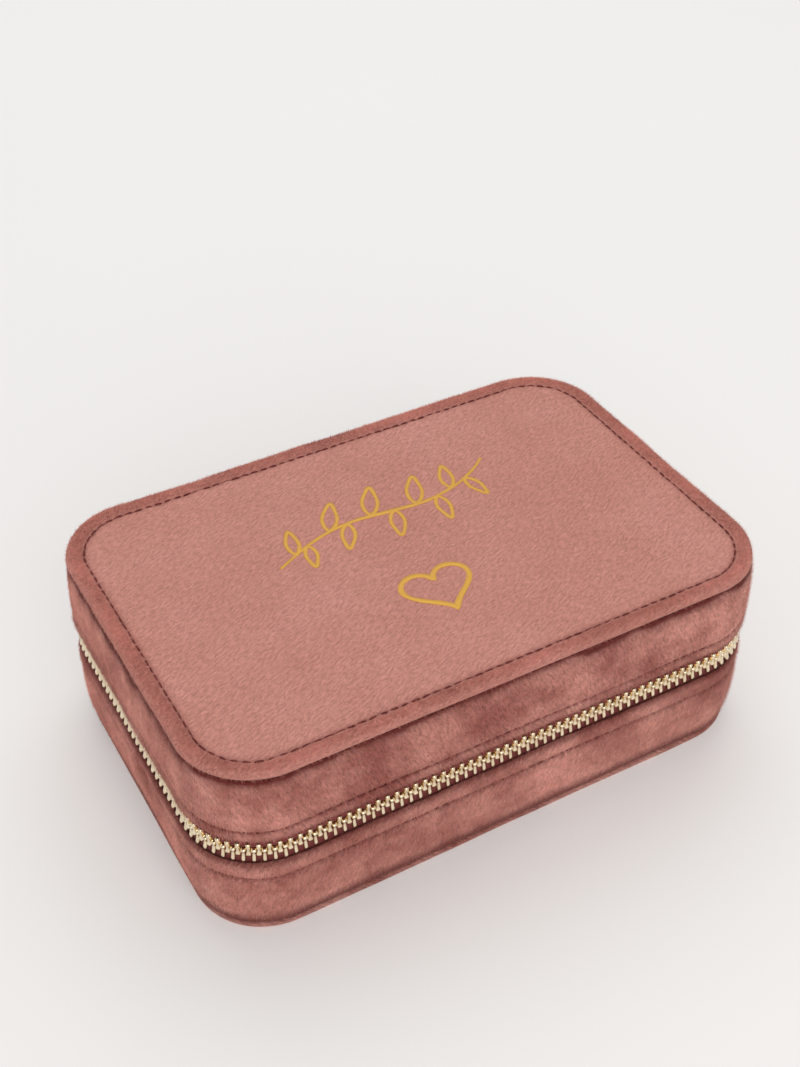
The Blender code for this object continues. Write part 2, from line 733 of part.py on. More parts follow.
def main():
    clear_scene()
    velvet = finish("rose_velvet", (0.46, 0.20, 0.17), 0.85)
    plush = finish("inner_plush", (0.50, 0.24, 0.20), 0.9)
    lining = finish("lining_cloth", (0.52, 0.27, 0.23), 0.8)
    card = finish("grey_board", (0.42, 0.38, 0.33), 0.9)
    foam = finish("thin_foam", (0.85, 0.82, 0.76), 0.95)
    tape_cloth = finish("wine_tape", (0.07, 0.012, 0.012), 0.8)
    gold = finish("pale_gold", (0.83, 0.66, 0.42), 0.25, 1.0)
    elastic = finish("elastic_band", (0.40, 0.17, 0.15), 0.75)

    lid = pivot("lid_pivot", (0.0, HINGE_Y, PARTING_HEIGHT))
    slider = pivot("slider_carriage", (BAIL_X, SLIDER_Y, PARTING_HEIGHT))
    link = pivot("link_pivot", (BAIL_X, SLIDER_Y, PARTING_HEIGHT), slider)
    tab = pivot("tab_pivot", (BAIL_X, SLIDER_Y, LINK_FOOT_Z), link)
    long_lift = pivot("long_divider_lift", (ROOM_X / 2, 0.0, FLOOR_TOP))
    short_lift = pivot("short_divider_lift", (SHORT_DIVIDER_X, -ROOM_Y / 2, FLOOR_TOP))

    make_base_shell(velvet, card)
    make_lid_shell(velvet, card, foam, lid)
    make_lining("base_lining", FLOOR_LOW, FLOOR_TOP, PARTING_HEIGHT - GAP, lining)
    make_lining("lid_lining", CEILING_TOP, CEILING_LOW, PARTING_HEIGHT + GAP, lining, lid)
    make_zip(tape_cloth, gold, lid)
    make_hinge(velvet, lining)
    make_slider(gold, slider)
    make_bail(gold, slider)
    make_link(gold, link)
    make_tab(gold, tab)
    make_ring_rolls(plush)
    make_dividers(plush, long_lift, short_lift)
    make_pocket(lining, elastic, lid)
    make_hooks(elastic, gold, lid)


if __name__ == "__main__":
    main()
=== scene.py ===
"""Looks of a zip-round velvet jewelry case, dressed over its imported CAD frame.

Everything is in metres in the frame's own axes: the long side along X, the front at -Y, the underside at Z 0.
Each class is one sub-assembly: it holds its sizes as fields, shapes its meshes and dresses them in a finish.
"""

from __future__ import annotations

import logging
import math
from dataclasses import dataclass, field
from enum import Enum

import bmesh
import bpy
import numpy as np
from bpy.types import ID, Material, Mesh, Node, NodeSocket, NodeTree, Object
from mathutils import Matrix, Vector


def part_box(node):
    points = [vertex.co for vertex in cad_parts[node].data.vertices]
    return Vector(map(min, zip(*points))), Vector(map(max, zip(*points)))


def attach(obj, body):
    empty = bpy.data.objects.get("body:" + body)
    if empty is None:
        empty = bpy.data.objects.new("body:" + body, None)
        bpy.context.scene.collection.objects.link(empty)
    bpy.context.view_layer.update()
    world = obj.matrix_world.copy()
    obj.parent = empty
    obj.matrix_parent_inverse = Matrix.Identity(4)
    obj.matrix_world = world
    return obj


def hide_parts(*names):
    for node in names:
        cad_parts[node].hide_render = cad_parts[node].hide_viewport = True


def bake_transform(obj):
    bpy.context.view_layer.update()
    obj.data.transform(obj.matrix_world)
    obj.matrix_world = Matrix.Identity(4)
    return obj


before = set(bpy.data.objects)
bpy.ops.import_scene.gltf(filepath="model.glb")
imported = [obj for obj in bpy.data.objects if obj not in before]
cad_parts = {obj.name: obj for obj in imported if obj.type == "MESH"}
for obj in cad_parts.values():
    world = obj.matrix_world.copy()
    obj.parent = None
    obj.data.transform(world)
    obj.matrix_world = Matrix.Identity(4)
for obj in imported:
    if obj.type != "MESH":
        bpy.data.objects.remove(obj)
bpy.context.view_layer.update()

log = logging.getLogger("jewelry_case")

MM = 0.001
# How far a plan map slides for each metre of height, so that the pile runs on over a panel's edge.
PLAN_SLANT = 0.9
# How many waves make up an unevenness.
WAVES = 20
FLAT = np.array([1.0, 1.0, 0.0])

Triple = tuple[float, float, float]
Pairs = list[tuple[float, float]]


class Half(Enum):
    """The two halves of the case: the body's name and the side of the parting that it lies on."""

    BASE = ("base", -1)
    LID = ("lid", 1)

    @property
    def body(self) -> str:
        """The CAD body that carries this half."""
        return self.value[0]

    @property
    def side(self) -> int:
        """-1 below the parting and 1 above it."""
        return self.value[1]


# ---------------------------------------------------------------- shapes


@dataclass(frozen=True)
class CaseOutline:
    """The rounded rectangle that every layer of the wall follows, clockwise from the middle of the back."""

    length: float
    depth: float
    radius: float

    @property
    def corner(self) -> float:
        """Length of one rounded corner."""
        return self.radius * math.pi / 2

    def ends(self, inset: float = 0.0) -> np.ndarray:
        """Lengths at which straights and corners end, on the line at an inset.

        Args:
            inset: how far inside the outline the line runs.

        Returns:
            Ten growing lengths, from 0 to the whole way round.
        """
        half = self.length / 2 - self.radius
        side = self.depth - 2 * self.radius
        bend = self.corner * (self.radius - inset) / self.radius
        legs = [half, bend, side, bend, 2 * half, bend, side, bend, half]
        return np.concatenate([[0.0], np.cumsum(legs)])

    @property
    def total(self) -> float:
        """The whole way round the outline."""
        return float(self.ends()[-1])

    def spread(self, count: int, inset: float = 0.0, start: float = 0.0,
               end: float | None = None) -> np.ndarray:
        """Stations that are evenly spaced on the line at an inset.

        Args:
            count: how many stations.
            inset: the line's inset.
            start: first length, measured on the outline itself.
            end: last length, which is then a station too. None goes all the way round.

        Returns:
            Lengths on the outline itself, one for each station.
        """
        here, there = self.ends(inset), self.ends()
        if end is None:
            even = np.arange(count) / count * here[-1]
        else:
            first, last = np.interp([start, end], there, here)
            even = np.linspace(first, last, count)
        return np.interp(even, here, there)

    def place(self, runs: np.ndarray) -> tuple[np.ndarray, np.ndarray]:
        """Points and outward directions at lengths along the outline.

        Args:
            runs: lengths, which may run past either end.

        Returns:
            Two arrays of (x, y): the points and the outward unit vectors.
        """
        runs = np.mod(runs, self.total)
        ends = self.ends()
        leg = np.clip(np.searchsorted(ends, runs, side="right") - 1, 0, 8)
        along = runs - ends[leg]
        turned = (leg + 1) // 2 * 90.0 - np.where(leg % 2 == 1, 90.0, 0.0)
        angle = np.radians(90.0 - turned - np.where(leg % 2 == 1, along / self.corner * 90.0, 0.0))
        out = np.stack([np.cos(angle), np.sin(angle)], 1)
        x, y, r = self.length / 2, self.depth / 2, self.radius
        hubs = np.array([(0, y - r), (x - r, y - r), (x - r, y - r), (x - r, r - y), (x - r, r - y),
                         (r - x, r - y), (r - x, r - y), (r - x, y - r), (r - x, y - r)])
        ahead = np.stack([out[:, 1], -out[:, 0]], 1)
        straight = np.where(leg % 2 == 0, along, 0.0)
        return hubs[leg] + out * r + ahead * straight[:, None], out

    def inset_of(self, x: np.ndarray, y: np.ndarray) -> np.ndarray:
        """How far inside the outline points lie.

        Args:
            x: places along the case.
            y: places across it.

        Returns:
            The distance to the outline, positive inside.
        """
        dx = np.abs(x) - (self.length / 2 - self.radius)
        dy = np.abs(y) - (self.depth / 2 - self.radius)
        outside = np.hypot(np.maximum(dx, 0), np.maximum(dy, 0))
        return self.radius - outside - np.minimum(np.maximum(dx, dy), 0)


def ripple(points: np.ndarray, short: float, long: float, seed: int) -> np.ndarray:
    """Smooth seeded unevenness in space, about one in size.

    Args:
        points: (..., 3) places.
        short: shortest wave.
        long: longest wave.
        seed: which unevenness.

    Returns:
        One number for each place.
    """
    dice = np.random.default_rng(seed)
    ways = dice.normal(size=(WAVES, 3))
    ways /= np.linalg.norm(ways, axis=1)[:, None]
    turns = points @ (ways / dice.uniform(short, long, WAVES)[:, None]).T * (2 * math.pi)
    return np.cos(turns + dice.uniform(0, 2 * math.pi, WAVES)).sum(-1) / math.sqrt(WAVES / 2)


def smooth_line(points: list[tuple[float, ...]], count: int) -> np.ndarray:
    """A smooth line through points, by Catmull and Rom's rule.

    Args:
        points: the points that it passes through.
        count: points on the result.

    Returns:
        The line as (count, dimensions), evenly spaced along its length.
    """
    p = np.array(points, float)
    p = np.vstack([2 * p[0] - p[1], p, 2 * p[-1] - p[-2]])
    t = np.linspace(0, 1, 12, endpoint=False)[:, None]
    pieces = []
    for a, b, c, d in zip(p, p[1:], p[2:], p[3:]):
        pieces.append(0.5 * (2 * b + (c - a) * t + (2 * a - 5 * b + 4 * c - d) * t**2
                             + (3 * b - a - 3 * c + d) * t**3))
    fine = np.vstack([*pieces, p[-2:-1]])
    reach = np.concatenate([[0.0], np.cumsum(np.linalg.norm(np.diff(fine, axis=0), axis=1))])
    even = np.linspace(0, reach[-1], count)
    return np.stack([np.interp(even, reach, fine[:, axis]) for axis in range(p.shape[1])], 1)


def held(value: np.ndarray) -> np.ndarray:
    """Numbers held between 0 and 1."""
    return np.clip(value, 0, 1)


def near(value: np.ndarray, middle: float, width: float) -> np.ndarray:
    """A smooth bump, 1 at the middle and falling off over a width."""
    return np.exp(-(((value - middle) / width) ** 2))


@dataclass
class Grid:
    """A surface of rows and columns, which becomes one mesh piece.

    Its cloth map follows the rows and columns, or the plan, slanted by PLAN_SLANT, when plan is set.
    """

    points: np.ndarray
    round_columns: bool = True
    round_rows: bool = False
    close_ends: bool = False
    shade: np.ndarray | None = None
    pile: np.ndarray | None = None
    plan: bool = False

    def reaches(self, axis: int, closed: bool) -> np.ndarray:
        """Mean lengths along rows or columns, for the cloth's own map.

        Args:
            axis: 0 runs along columns and 1 along rows.
            closed: whether that way closes on itself.

        Returns:
            Growing lengths from 0.
        """
        p = self.points
        steps = np.linalg.norm(np.diff(p, axis=axis), axis=2).mean(axis=1 - axis)
        if closed:
            first, last = np.take(p, 0, axis), np.take(p, -1, axis)
            steps = np.append(steps, np.linalg.norm(last - first, axis=1).mean())
        return np.concatenate([[0.0], np.cumsum(steps)])

    def piece(self, name: str, material: Material, crisp: float | None = None) -> Object:
        """Builds the mesh object.

        Args:
            name: the piece's name.
            material: its finish.
            crisp: an angle in degrees above which edges stay sharp. None is smooth all over.

        Returns:
            The new object, at the origin.
        """
        rows, columns = self.points.shape[:2]
        k = np.arange(rows if self.round_rows else rows - 1)
        i = np.arange(columns if self.round_columns else columns - 1)
        k, i = np.meshgrid(k, i, indexing="ij")
        k, i = k.ravel(), i.ravel()
        up, on = (k + 1) % rows, (i + 1) % columns
        faces = np.stack([k * columns + i, k * columns + on, up * columns + on, up * columns + i],
                         1).tolist()
        u, v = self.reaches(1, self.round_columns), self.reaches(0, self.round_rows)
        corner_u = np.stack([u[i], u[i + 1], u[i + 1], u[i]], 1).ravel()
        corner_v = np.stack([v[k], v[k], v[k + 1], v[k + 1]], 1).ravel()
        if self.close_ends:
            loops = self.end_loops(rows, columns)
            flat = np.array([self.points.reshape(-1, 3)[n][:2] for loop in loops for n in loop])
            faces += loops
            corner_u, corner_v = np.append(corner_u, flat[:, 0]), np.append(corner_v, flat[:, 1])
        mesh = bpy.data.meshes.new(name)
        mesh.from_pydata(self.points.reshape(-1, 3).tolist(), [], faces)
        flat_map = np.stack([corner_u, corner_v], 1)
        if self.plan:
            corners = self.points.reshape(-1, 3)[np.concatenate([np.array(face) for face in faces])]
            flat_map = corners[:, :2] + corners[:, 2:] * PLAN_SLANT
        layer = mesh.uv_layers.new(name="cloth")
        layer.uv.foreach_set("vector", flat_map.ravel())
        for label, values in (("shade", self.shade), ("pile", self.pile)):
            if values is not None:
                mark = mesh.attributes.new(label, "FLOAT", "POINT")
                mark.data.foreach_set("value", np.broadcast_to(values, (rows, columns)).ravel())
        return settle(name, mesh, material, crisp)

    def end_loops(self, rows: int, columns: int) -> list[list[int]]:
        """The faces that close a tube's two ends, or a cup's first and last rows.

        Args:
            rows: how many rows.
            columns: how many columns.

        Returns:
            Two faces as vertex numbers.
        """
        if self.round_columns:
            return [list(range(columns)), list(range((rows - 1) * columns, rows * columns))]
        return [[k * columns for k in range(rows)], [k * columns + columns - 1 for k in range(rows)]]


def link(name: str, data: ID) -> Object:
    """A new object in the scene, from its data.

    Args:
        name: the object's name.
        data: its mesh, light or camera.

    Returns:
        The object.
    """
    thing = bpy.data.objects.new(name, data)
    bpy.context.scene.collection.objects.link(thing)
    return thing


def baked(thing: Object) -> Mesh:
    """A new mesh with the object's modifiers applied."""
    return bpy.data.meshes.new_from_object(thing.evaluated_get(bpy.context.evaluated_depsgraph_get()))


def places_of(mesh: Mesh) -> np.ndarray:
    """A mesh's vertices as (count, 3).

    Args:
        mesh: the mesh.

    Returns:
        One row for each vertex.
    """
    places = np.empty(len(mesh.vertices) * 3)
    mesh.vertices.foreach_get("co", places)
    return places.reshape(-1, 3)


def strip_grid(points: np.ndarray, shade: np.ndarray | None = None) -> Grid:
    """A strip's grid: closed round its rows and at both ends."""
    return Grid(points, round_columns=False, round_rows=True, close_ends=True, shade=shade)


def settle(name: str, mesh: Mesh, material: Material, crisp: float | None = None) -> Object:
    """Turns a mesh's faces outwards, smooths it and links its object.

    Args:
        name: the piece's name.
        mesh: the mesh, in place.
        material: its finish.
        crisp: an angle in degrees above which edges stay sharp.

    Returns:
        The new object.
    """
    work = bmesh.new()
    work.from_mesh(mesh)
    bmesh.ops.recalc_face_normals(work, faces=work.faces[:])
    work.to_mesh(mesh)
    work.free()
    mesh.shade_smooth()
    if crisp is not None:
        mesh.set_sharp_from_angle(angle=math.radians(crisp))
    mesh.materials.clear()
    mesh.materials.append(material)
    return link(name, mesh)


def wrap(outline: CaseOutline, runs: np.ndarray, inset: np.ndarray, height: np.ndarray) -> np.ndarray:
    """Stands rows of (inset, height) round the outline.

    Args:
        outline: the case's outline.
        runs: (columns) stations.
        inset: (rows, columns) or (rows, 1) insets.
        height: (rows, columns) or (rows, 1) heights.

    Returns:
        (rows, columns, 3) points.
    """
    spot, out = outline.place(runs)
    inset, height = np.broadcast_arrays(inset, height, np.empty((1, len(runs))))[:2]
    flat = spot[None] - out[None] * inset[..., None]
    return np.concatenate([flat, height[..., None]], 2)


def tube(path: np.ndarray, across: Pairs, closed: bool, up: Vector) -> np.ndarray:
    """Carries a cross-section along a path.

    Args:
        path: (points, 3) the middle line.
        across: the section's (side, up) points.
        closed: whether the path closes on itself.
        up: the direction that the section's second number follows.

    Returns:
        (points, section points, 3) places.
    """
    if closed:
        ahead = np.roll(path, -1, 0) - np.roll(path, 1, 0)
    else:
        ahead = np.gradient(path, axis=0)
    ahead /= np.linalg.norm(ahead, axis=1)[:, None]
    side = np.cross(ahead, np.array(up))
    side /= np.linalg.norm(side, axis=1)[:, None]
    top = np.cross(side, ahead)
    section = np.array(across)
    return path[:, None] + side[:, None] * section[None, :, :1] + top[:, None] * section[None, :, 1:]


def circle(radius: float, sides: int) -> Pairs:
    """A round section's points."""
    angles = [2 * math.pi * k / sides for k in range(sides)]
    return [(radius * math.cos(a), radius * math.sin(a)) for a in angles]


def pillow_box(low: Vector, high: Vector, edge: float, cuts: int) -> bmesh.types.BMesh:
    """A box with rounded edges and an even net of faces.

    Args:
        low: lowest corner.
        high: highest corner.
        edge: radius of the edges.
        cuts: how many times each edge is cut.

    Returns:
        A bmesh that the caller finishes.
    """
    mesh = bmesh.new()
    size = high - low
    bmesh.ops.create_cube(mesh, size=1.0,
                          matrix=Matrix.Translation((low + high) / 2) @ Matrix.Diagonal((*size, 1)))
    bmesh.ops.bevel(mesh, geom=mesh.edges[:] + mesh.verts[:], offset=edge, segments=3, profile=0.5,
                    affect="EDGES")
    if cuts:
        long_edges = [e for e in mesh.edges if e.calc_length() > 3 * edge]
        bmesh.ops.subdivide_edges(mesh, edges=long_edges, cuts=cuts, use_grid_fill=True)
    return mesh


def piece_of(work: bmesh.types.BMesh, name: str, material: Material, crisp: float | None = None) -> Object:
    """Turns a bmesh into a linked piece.

    Args:
        work: the bmesh, which is freed.
        name: the piece's name.
        material: its finish.
        crisp: an angle in degrees above which edges stay sharp.

    Returns:
        The piece.
    """
    mesh = bpy.data.meshes.new(name)
    work.to_mesh(mesh)
    work.free()
    return settle(name, mesh, material, crisp)


def join(name: str, things: list[Object]) -> Object:
    """Joins pieces into one.

    Args:
        name: the joined piece's name.
        things: pieces with the same finish.

    Returns:
        The joined piece.
    """
    work = bmesh.new()
    for thing in things:
        work.from_mesh(thing.data)
    material = things[0].data.materials[0]
    joined = bpy.data.meshes.new(name)
    work.to_mesh(joined)
    work.free()
    joined.materials.append(material)
    for thing in things:
        bpy.data.objects.remove(thing)
    return link(name, joined)


def box_of(node: str) -> tuple[Vector, Vector]:
    """The lowest and highest corners of a CAD node."""
    low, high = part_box(node)
    return Vector(low), Vector(high)


def mount(piece: Object, body: str, node: str = "") -> None:
    """Fixes a piece to a body.

    Args:
        piece: the piece.
        body: the CAD body that carries it.
        node: the CAD node that it stands for, if there is one.
    """
    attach(piece, body)
    if node:
        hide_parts(node)
    log.info("mounted %s on %s", piece.name, body)


# ---------------------------------------------------------------- nodes


class NodeBench:
    """Places and wires nodes in one tree."""

    def __init__(self, tree: NodeTree) -> None:
        """Starts on an emptied tree.

        Args:
            tree: a material's, a group's or a geometry tree.
        """
        self.tree = tree
        tree.nodes.clear()

    def put(self, kind: str, inputs: dict[str | int, object] | None = None, **settings: object) -> Node:
        """Adds a node.

        Args:
            kind: the node's type name.
            inputs: values or sockets for its inputs, by name or number.
            settings: the node's own properties.

        Returns:
            The node.
        """
        node = self.tree.nodes.new(kind)
        for key, value in settings.items():
            setattr(node, key, value)
        for key, value in (inputs or {}).items():
            self.feed(node.inputs[key], value)
        return node

    def feed(self, socket: NodeSocket, value: object) -> None:
        """Sets an input, or links it when the value is a socket.

        Args:
            socket: the input.
            value: a value or a socket.
        """
        if isinstance(value, NodeSocket):
            self.tree.links.new(value, socket)
        else:
            socket.default_value = value

    def math(self, operation: str, *values: object) -> NodeSocket:
        """A Math node's result."""
        return self.put("ShaderNodeMath", dict(enumerate(values)), operation=operation).outputs[0]

    def noise(self, vector: object, scale: object, detail: float = 2.0, roughness: float = 0.5,
              bend: float = 0.0) -> NodeSocket:
        """A noise texture's factor."""
        sockets = {"Vector": vector, "Scale": scale, "Detail": detail, "Roughness": roughness,
                   "Distortion": bend}
        return self.put("ShaderNodeTexNoise", sockets).outputs[0]

    def steps(self, value: object, low: float, high: float, to_low: float = 0.0,
              to_high: float = 1.0) -> NodeSocket:
        """A value moved from one range to another and held inside it."""
        sockets = {0: value, 1: low, 2: high, 3: to_low, 4: to_high}
        return self.put("ShaderNodeMapRange", sockets, clamp=True).outputs[0]

    def blend(self, share: object, low: object, high: object, kind: str = "MIX") -> NodeSocket:
        """A colour between two others, which may be tuples of three numbers.

        Args:
            share: how much of the second.
            low: the first colour.
            high: the second colour.
            kind: how they mix.

        Returns:
            The colour.
        """
        low, high = [(*c, 1.0) if isinstance(c, tuple) and len(c) == 3 else c for c in (low, high)]
        node = self.put("ShaderNodeMix", data_type="RGBA", blend_type=kind)
        for number, value in ((0, share), (6, low), (7, high)):
            self.feed(node.inputs[number], value)
        return node.outputs[2]

    @staticmethod
    def live(sockets: object, label: str | None = None) -> NodeSocket:
        """The socket in use, out of several that share a name or a node."""
        return next(s for s in sockets if s.enabled and label in (None, s.name))

    def chance(self, low: object, high: object, seed: object, kind: str = "FLOAT") -> NodeSocket:
        """A random value for each point, between two others.

        Args:
            low: the least.
            high: the most.
            seed: which chance.
            kind: the value's type.

        Returns:
            The value.
        """
        node = self.put("FunctionNodeRandomValue", data_type=kind)
        for label, value in (("Min", low), ("Max", high), ("Seed", seed)):
            self.feed(self.live(node.inputs, label), value)
        return self.live(node.outputs)


class GroupMaker:
    """Builds a shader group that several finishes share."""

    def __init__(self, name: str, takes: dict[str, object], gives: dict[str, str]) -> None:
        """Makes the group's sockets.

        Args:
            name: the group's name.
            takes: inputs and their first values; None is a vector.
            gives: outputs and their socket types.
        """
        self.tree = bpy.data.node_groups.new(name, "ShaderNodeTree")
        self.bench = NodeBench(self.tree)
        for label, value in takes.items():
            kind = "NodeSocketVector" if value is None else "NodeSocketFloat"
            socket = self.tree.interface.new_socket(name=label, in_out="INPUT", socket_type=kind)
            if value is not None:
                socket.default_value = value
        for label, kind in gives.items():
            self.tree.interface.new_socket(name=label, in_out="OUTPUT", socket_type=kind)
        self.inlet = self.bench.put("NodeGroupInput")
        self.outlet = self.bench.put("NodeGroupOutput")

    def take(self, label: str) -> NodeSocket:
        """An input, to wire from."""
        return self.inlet.outputs[label]

    def give(self, label: str, socket: NodeSocket) -> None:
        """Wires an output."""
        self.bench.feed(self.outlet.inputs[label], socket)


def nap_group() -> NodeTree:
    """Short pile that lies in streaks and combed patches.

    Returns:
        A group that puts out a light-and-dark mask, a patch mask and the pile's height.
    """
    maker = GroupMaker(
        "pile_nap",
        {"Flat Map": None, "Place": None, "Lie Angle": 25.0, "Streak Size": 0.0012, "Patch Size": 0.02,
         "Patch Depth": 0.5},
        {"Streaks": "NodeSocketFloat", "Patches": "NodeSocketFloat", "Height": "NodeSocketFloat"},
    )
    b = maker.bench
    angle = b.math("RADIANS", maker.take("Lie Angle"))
    turned = b.put("ShaderNodeVectorRotate", {"Vector": maker.take("Flat Map"), "Angle": angle},
                   rotation_type="Z_AXIS")
    fine = b.math("DIVIDE", 1.0, maker.take("Streak Size"))
    long = b.put("ShaderNodeVectorMath", {0: turned.outputs[0], 1: (1.0, 2.6, 1.0)}, operation="MULTIPLY")
    hair = b.put("ShaderNodeVectorMath", {0: turned.outputs[0], 1: (3.0, 9.0, 3.0)}, operation="MULTIPLY")
    streak = b.noise(long.outputs[0], fine, 2.0, 0.55, 0.5)
    fibre = b.noise(hair.outputs[0], fine, 1.0, 0.6, 0.3)
    patch_scale = b.math("DIVIDE", 1.0, maker.take("Patch Size"))
    patch = b.noise(maker.take("Place"), patch_scale, 3.0, 0.55)
    smudge = b.noise(maker.take("Place"), b.math("MULTIPLY", patch_scale, 4.0), 2.0, 0.5)
    patches = b.math("MULTIPLY_ADD", smudge, 0.2, b.math("MULTIPLY", patch, 0.8))
    patches = b.steps(patches, 0.35, 0.65)
    streaks = b.math("MULTIPLY_ADD", fibre, 0.35, b.math("MULTIPLY", streak, 0.65))
    maker.give("Streaks", b.steps(streaks, 0.34, 0.66))
    deep = b.math("MULTIPLY", b.math("SUBTRACT", patches, 0.5), maker.take("Patch Depth"))
    maker.give("Patches", b.math("ADD", deep, 0.5))
    maker.give("Height", b.math("MULTIPLY_ADD", fibre, 0.12, b.math("MULTIPLY", streak, 0.88)))
    return maker.tree


def weave_group() -> NodeTree:
    """Crossing threads, seen as rows and columns.

    Returns:
        A group that puts out the weave's height and a mask of its gaps.
    """
    maker = GroupMaker(
        "thread_weave",
        {"Flat Map": None, "Thread": 0.0005, "Slant": 0.0},
        {"Height": "NodeSocketFloat", "Gaps": "NodeSocketFloat"},
    )
    b = maker.bench
    turn = b.math("RADIANS", maker.take("Slant"))
    turned = b.put("ShaderNodeVectorRotate", {"Vector": maker.take("Flat Map"), "Angle": turn},
                   rotation_type="Z_AXIS")
    parts = b.put("ShaderNodeSeparateXYZ", {0: turned.outputs[0]})
    beat = b.math("DIVIDE", math.pi, maker.take("Thread"))
    warp = b.math("SINE", b.math("MULTIPLY", parts.outputs[0], beat))
    weft = b.math("SINE", b.math("MULTIPLY", parts.outputs[1], beat))
    over = b.math("MULTIPLY", warp, weft)
    rough = b.noise(maker.take("Flat Map"), 2600.0, 2.0)
    height = b.math("MULTIPLY_ADD", over, 0.35, b.math("MULTIPLY_ADD", rough, 0.3, 0.35))
    maker.give("Height", height)
    maker.give("Gaps", b.steps(b.math("ABSOLUTE", over), 0.0, 0.35, 1.0, 0.0))
    return maker.tree


def wear_group() -> NodeTree:
    """Fine scuffs and cloudy polish on plated metal, foil and leather.

    Returns:
        A group that puts out a cloud mask, a scuff mask and a height.
    """
    maker = GroupMaker(
        "rubbed_surface",
        {"Place": None, "Cloud Size": 0.004, "Scuff Size": 0.0004},
        {"Clouds": "NodeSocketFloat", "Scuffs": "NodeSocketFloat", "Height": "NodeSocketFloat"},
    )
    b = maker.bench
    clouds = b.noise(maker.take("Place"), b.math("DIVIDE", 1.0, maker.take("Cloud Size")), 3.0, 0.6)
    scuffs = b.noise(maker.take("Place"), b.math("DIVIDE", 1.0, maker.take("Scuff Size")), 4.0, 0.7)
    maker.give("Clouds", b.steps(clouds, 0.3, 0.7))
    maker.give("Scuffs", b.steps(scuffs, 0.45, 0.75))
    maker.give("Height", scuffs)
    return maker.tree


@dataclass(frozen=True)
class Finish:
    """A finish's name and the numbers that are the same all over it."""

    name: str
    tint: Triple
    roughness: float = 0.8

    def start(self) -> tuple[Material, NodeBench, Node]:
        """A new material with an emptied tree, a Principled shader and an output.

        Returns:
            The material, its bench and its shader.
        """
        material = bpy.data.materials.new(self.name)
        material.use_nodes = True
        bench = NodeBench(material.node_tree)
        shader = bench.put("ShaderNodeBsdfPrincipled",
                           {"Base Color": (*self.tint, 1.0), "Roughness": self.roughness})
        bench.put("ShaderNodeOutputMaterial", {0: shader.outputs[0]})
        return material, bench, shader

    def flat_map(self, bench: NodeBench) -> NodeSocket:
        """The piece's own cloth map."""
        return bench.put("ShaderNodeUVMap", uv_map="cloth").outputs[0]

    def place(self, bench: NodeBench) -> NodeSocket:
        """Object coordinates."""
        return bench.put("ShaderNodeTexCoord").outputs["Object"]

    def group(self, bench: NodeBench, tree: NodeTree, values: dict[str, object]) -> Node:
        """Places a shared group with this finish's own values.

        Args:
            bench: the material's bench.
            tree: the group.
            values: its inputs by name.

        Returns:
            The node.
        """
        node = bench.put("ShaderNodeGroup", node_tree=tree)
        for label, value in values.items():
            bench.feed(node.inputs[label], value)
        return node

    def bump(self, bench: NodeBench, height: object, depth: float, strength: float = 1.0) -> NodeSocket:
        """A Bump node's normal."""
        return bench.put("ShaderNodeBump",
                         {"Height": height, "Distance": depth, "Strength": strength}).outputs[0]


@dataclass(frozen=True)
class Velvet(Finish):
    """Short-pile velvet or plush, with painted shade in its creases, seams and stitch pits."""

    deep: Triple = (0.2, 0.06, 0.05)
    light: Triple = (0.7, 0.4, 0.36)
    # Colour of the painted shade that the shade attribute lays into creases, seams and stitch pits.
    crease: Triple = (0.14, 0.022, 0.018)
    lie: float = 25.0
    streak: float = 0.0012
    patch: float = 0.02
    patch_depth: float = 0.5
    streak_low: float = 0.8
    streak_high: float = 1.16
    sheen: float = 0.22
    depth: float = 0.0003
    mapped: bool = True

    def make(self, nap: NodeTree) -> Material:
        """Builds the material.

        Args:
            nap: the shared pile group.

        Returns:
            The material.
        """
        material, b, shader = self.start()
        place = self.place(b)
        flat = self.flat_map(b) if self.mapped else place
        values = {"Flat Map": flat, "Place": place, "Lie Angle": self.lie, "Streak Size": self.streak,
                  "Patch Size": self.patch, "Patch Depth": self.patch_depth}
        pile = self.group(b, nap, values)
        base = b.blend(pile.outputs["Patches"], self.deep, self.light)
        shift = b.steps(pile.outputs["Streaks"], 0.0, 1.0, self.streak_low, self.streak_high)
        grey = b.put("ShaderNodeCombineColor", {0: shift, 1: shift, 2: shift}).outputs[0]
        color = b.blend(1.0, base, grey, "MULTIPLY")
        # Painted shade: the shade attribute pulls the colour towards the crease colour.
        painted_shade = b.put("ShaderNodeAttribute", attribute_name="shade",
                     attribute_type="GEOMETRY").outputs["Fac"]
        color = b.blend(painted_shade, color, self.crease)
        b.feed(shader.inputs["Base Color"], color)
        b.feed(shader.inputs["Roughness"], b.steps(pile.outputs["Streaks"], 0.0, 1.0, 0.95, 0.72))
        b.feed(shader.inputs["Normal"], self.bump(b, pile.outputs["Height"], self.depth))
        shader.inputs["Sheen Weight"].default_value = self.sheen
        shader.inputs["Sheen Roughness"].default_value = 0.4
        shader.inputs["Sheen Tint"].default_value = (1.0, 0.66, 0.56, 1.0)
        shader.inputs["Specular IOR Level"].default_value = 0.18
        return material


